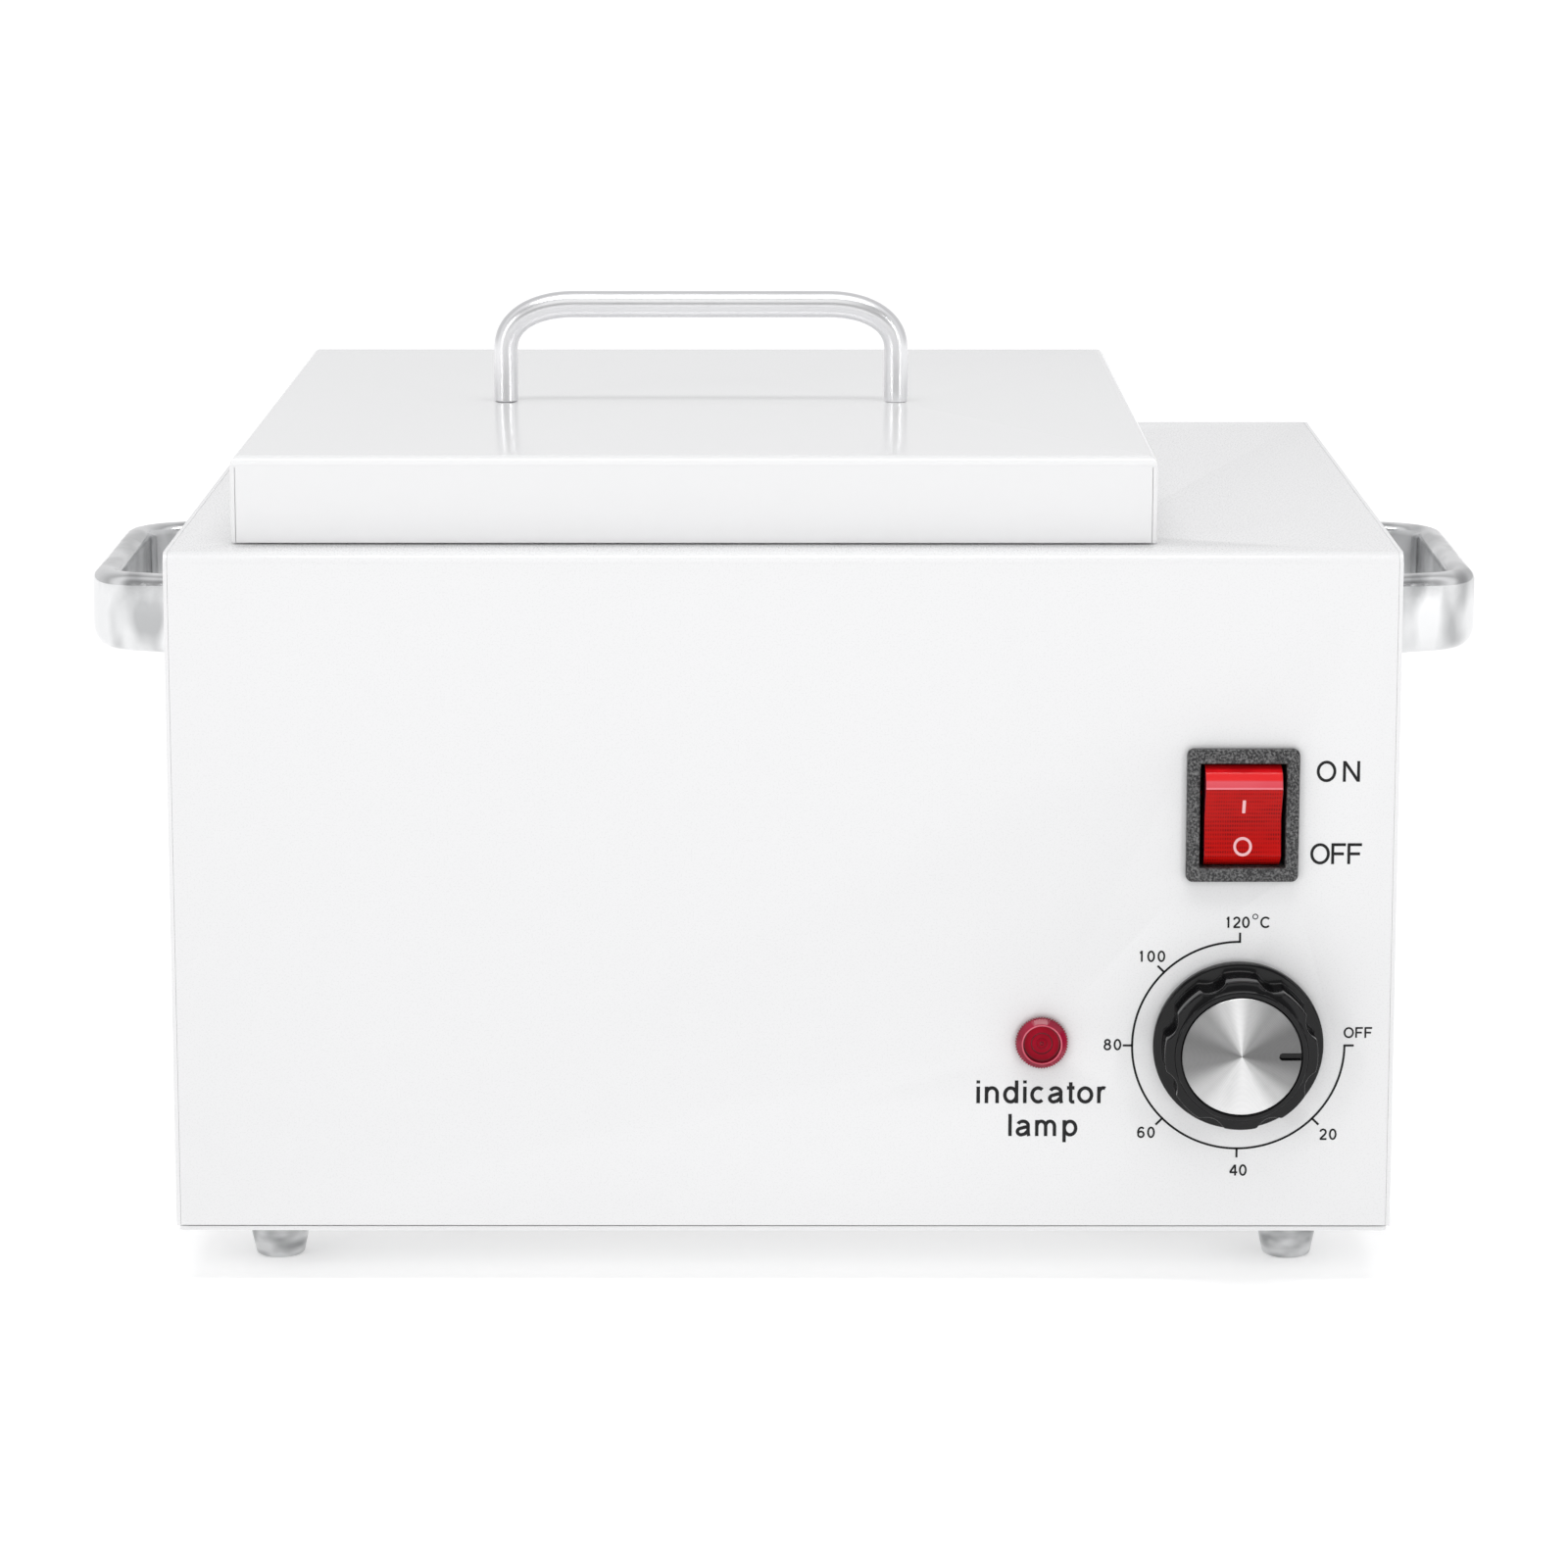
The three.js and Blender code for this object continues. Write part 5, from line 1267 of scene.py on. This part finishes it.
def area(name, size, energy, loc, target, colour=(1, 1, 1)):
    l = bpy.data.lights.new(name, "AREA")
    l.shape, l.size, l.size_y, l.energy, l.color = "RECTANGLE", size[0], size[1], energy, colour
    o = bpy.data.objects.new(name, l)
    scene.collection.objects.link(o)
    o.location = loc
    o.rotation_euler = (Vector(target) - Vector(loc)).to_track_quat("-Z", "Y").to_euler()
    return o


area("softbox_above", (1.5, 0.42), 12.0, (0, -0.5, 1.85), (0, 0, 0.15))
area("softbox_front", (1.7, 1.3), 5.4, (-0.2, -2.3, 1.75), (0, 0, 0.12))
area("strip_left", (0.12, 0.9), 3.5, (-1.35, -1.55, 0.7), (0, 0, 0.12))
area("strip_right", (0.12, 0.9), 3.5, (1.35, -1.55, 0.7), (0, 0, 0.12))

# soft surroundings: brighter in front, greyer overhead and behind, so that polished metal has something to show
world = bpy.data.worlds.new("studio")
scene.world = world
world.use_nodes = True
wn = world.node_tree
bg = wn.nodes["Background"]
tc = wn.nodes.new("ShaderNodeTexCoord")
lean = wn.nodes.new("ShaderNodeVectorMath")
lean.operation = "DOT_PRODUCT"
lean.inputs[1].default_value = (0.0, -0.94, 0.34)
wn.links.new(tc.outputs["Generated"], lean.inputs[0])
ramp = wn.nodes.new("ShaderNodeValToRGB")
half = wn.nodes.new("ShaderNodeMapRange")
half.inputs["From Min"].default_value, half.inputs["From Max"].default_value = -1, 1
wn.links.new(lean.outputs["Value"], half.inputs["Value"])
wn.links.new(half.outputs["Result"], ramp.inputs["Fac"])
els = ramp.color_ramp.elements
els[0].position, els[0].color = 0.0, (0.78, 0.78, 0.785, 1)
els[1].position, els[1].color = 1.0, (0.34, 0.34, 0.34, 1)
for pos, g in ((0.22, 0.76), (0.48, 0.52), (0.60, 0.86), (0.70, 0.88), (0.84, 0.42)):
    e = els.new(pos)
    e.color = (g, g, g * 1.01, 1)
wn.links.new(ramp.outputs["Color"], bg.inputs["Color"])
bg.inputs["Strength"].default_value = 1.0
scene.view_settings.view_transform = "Standard"
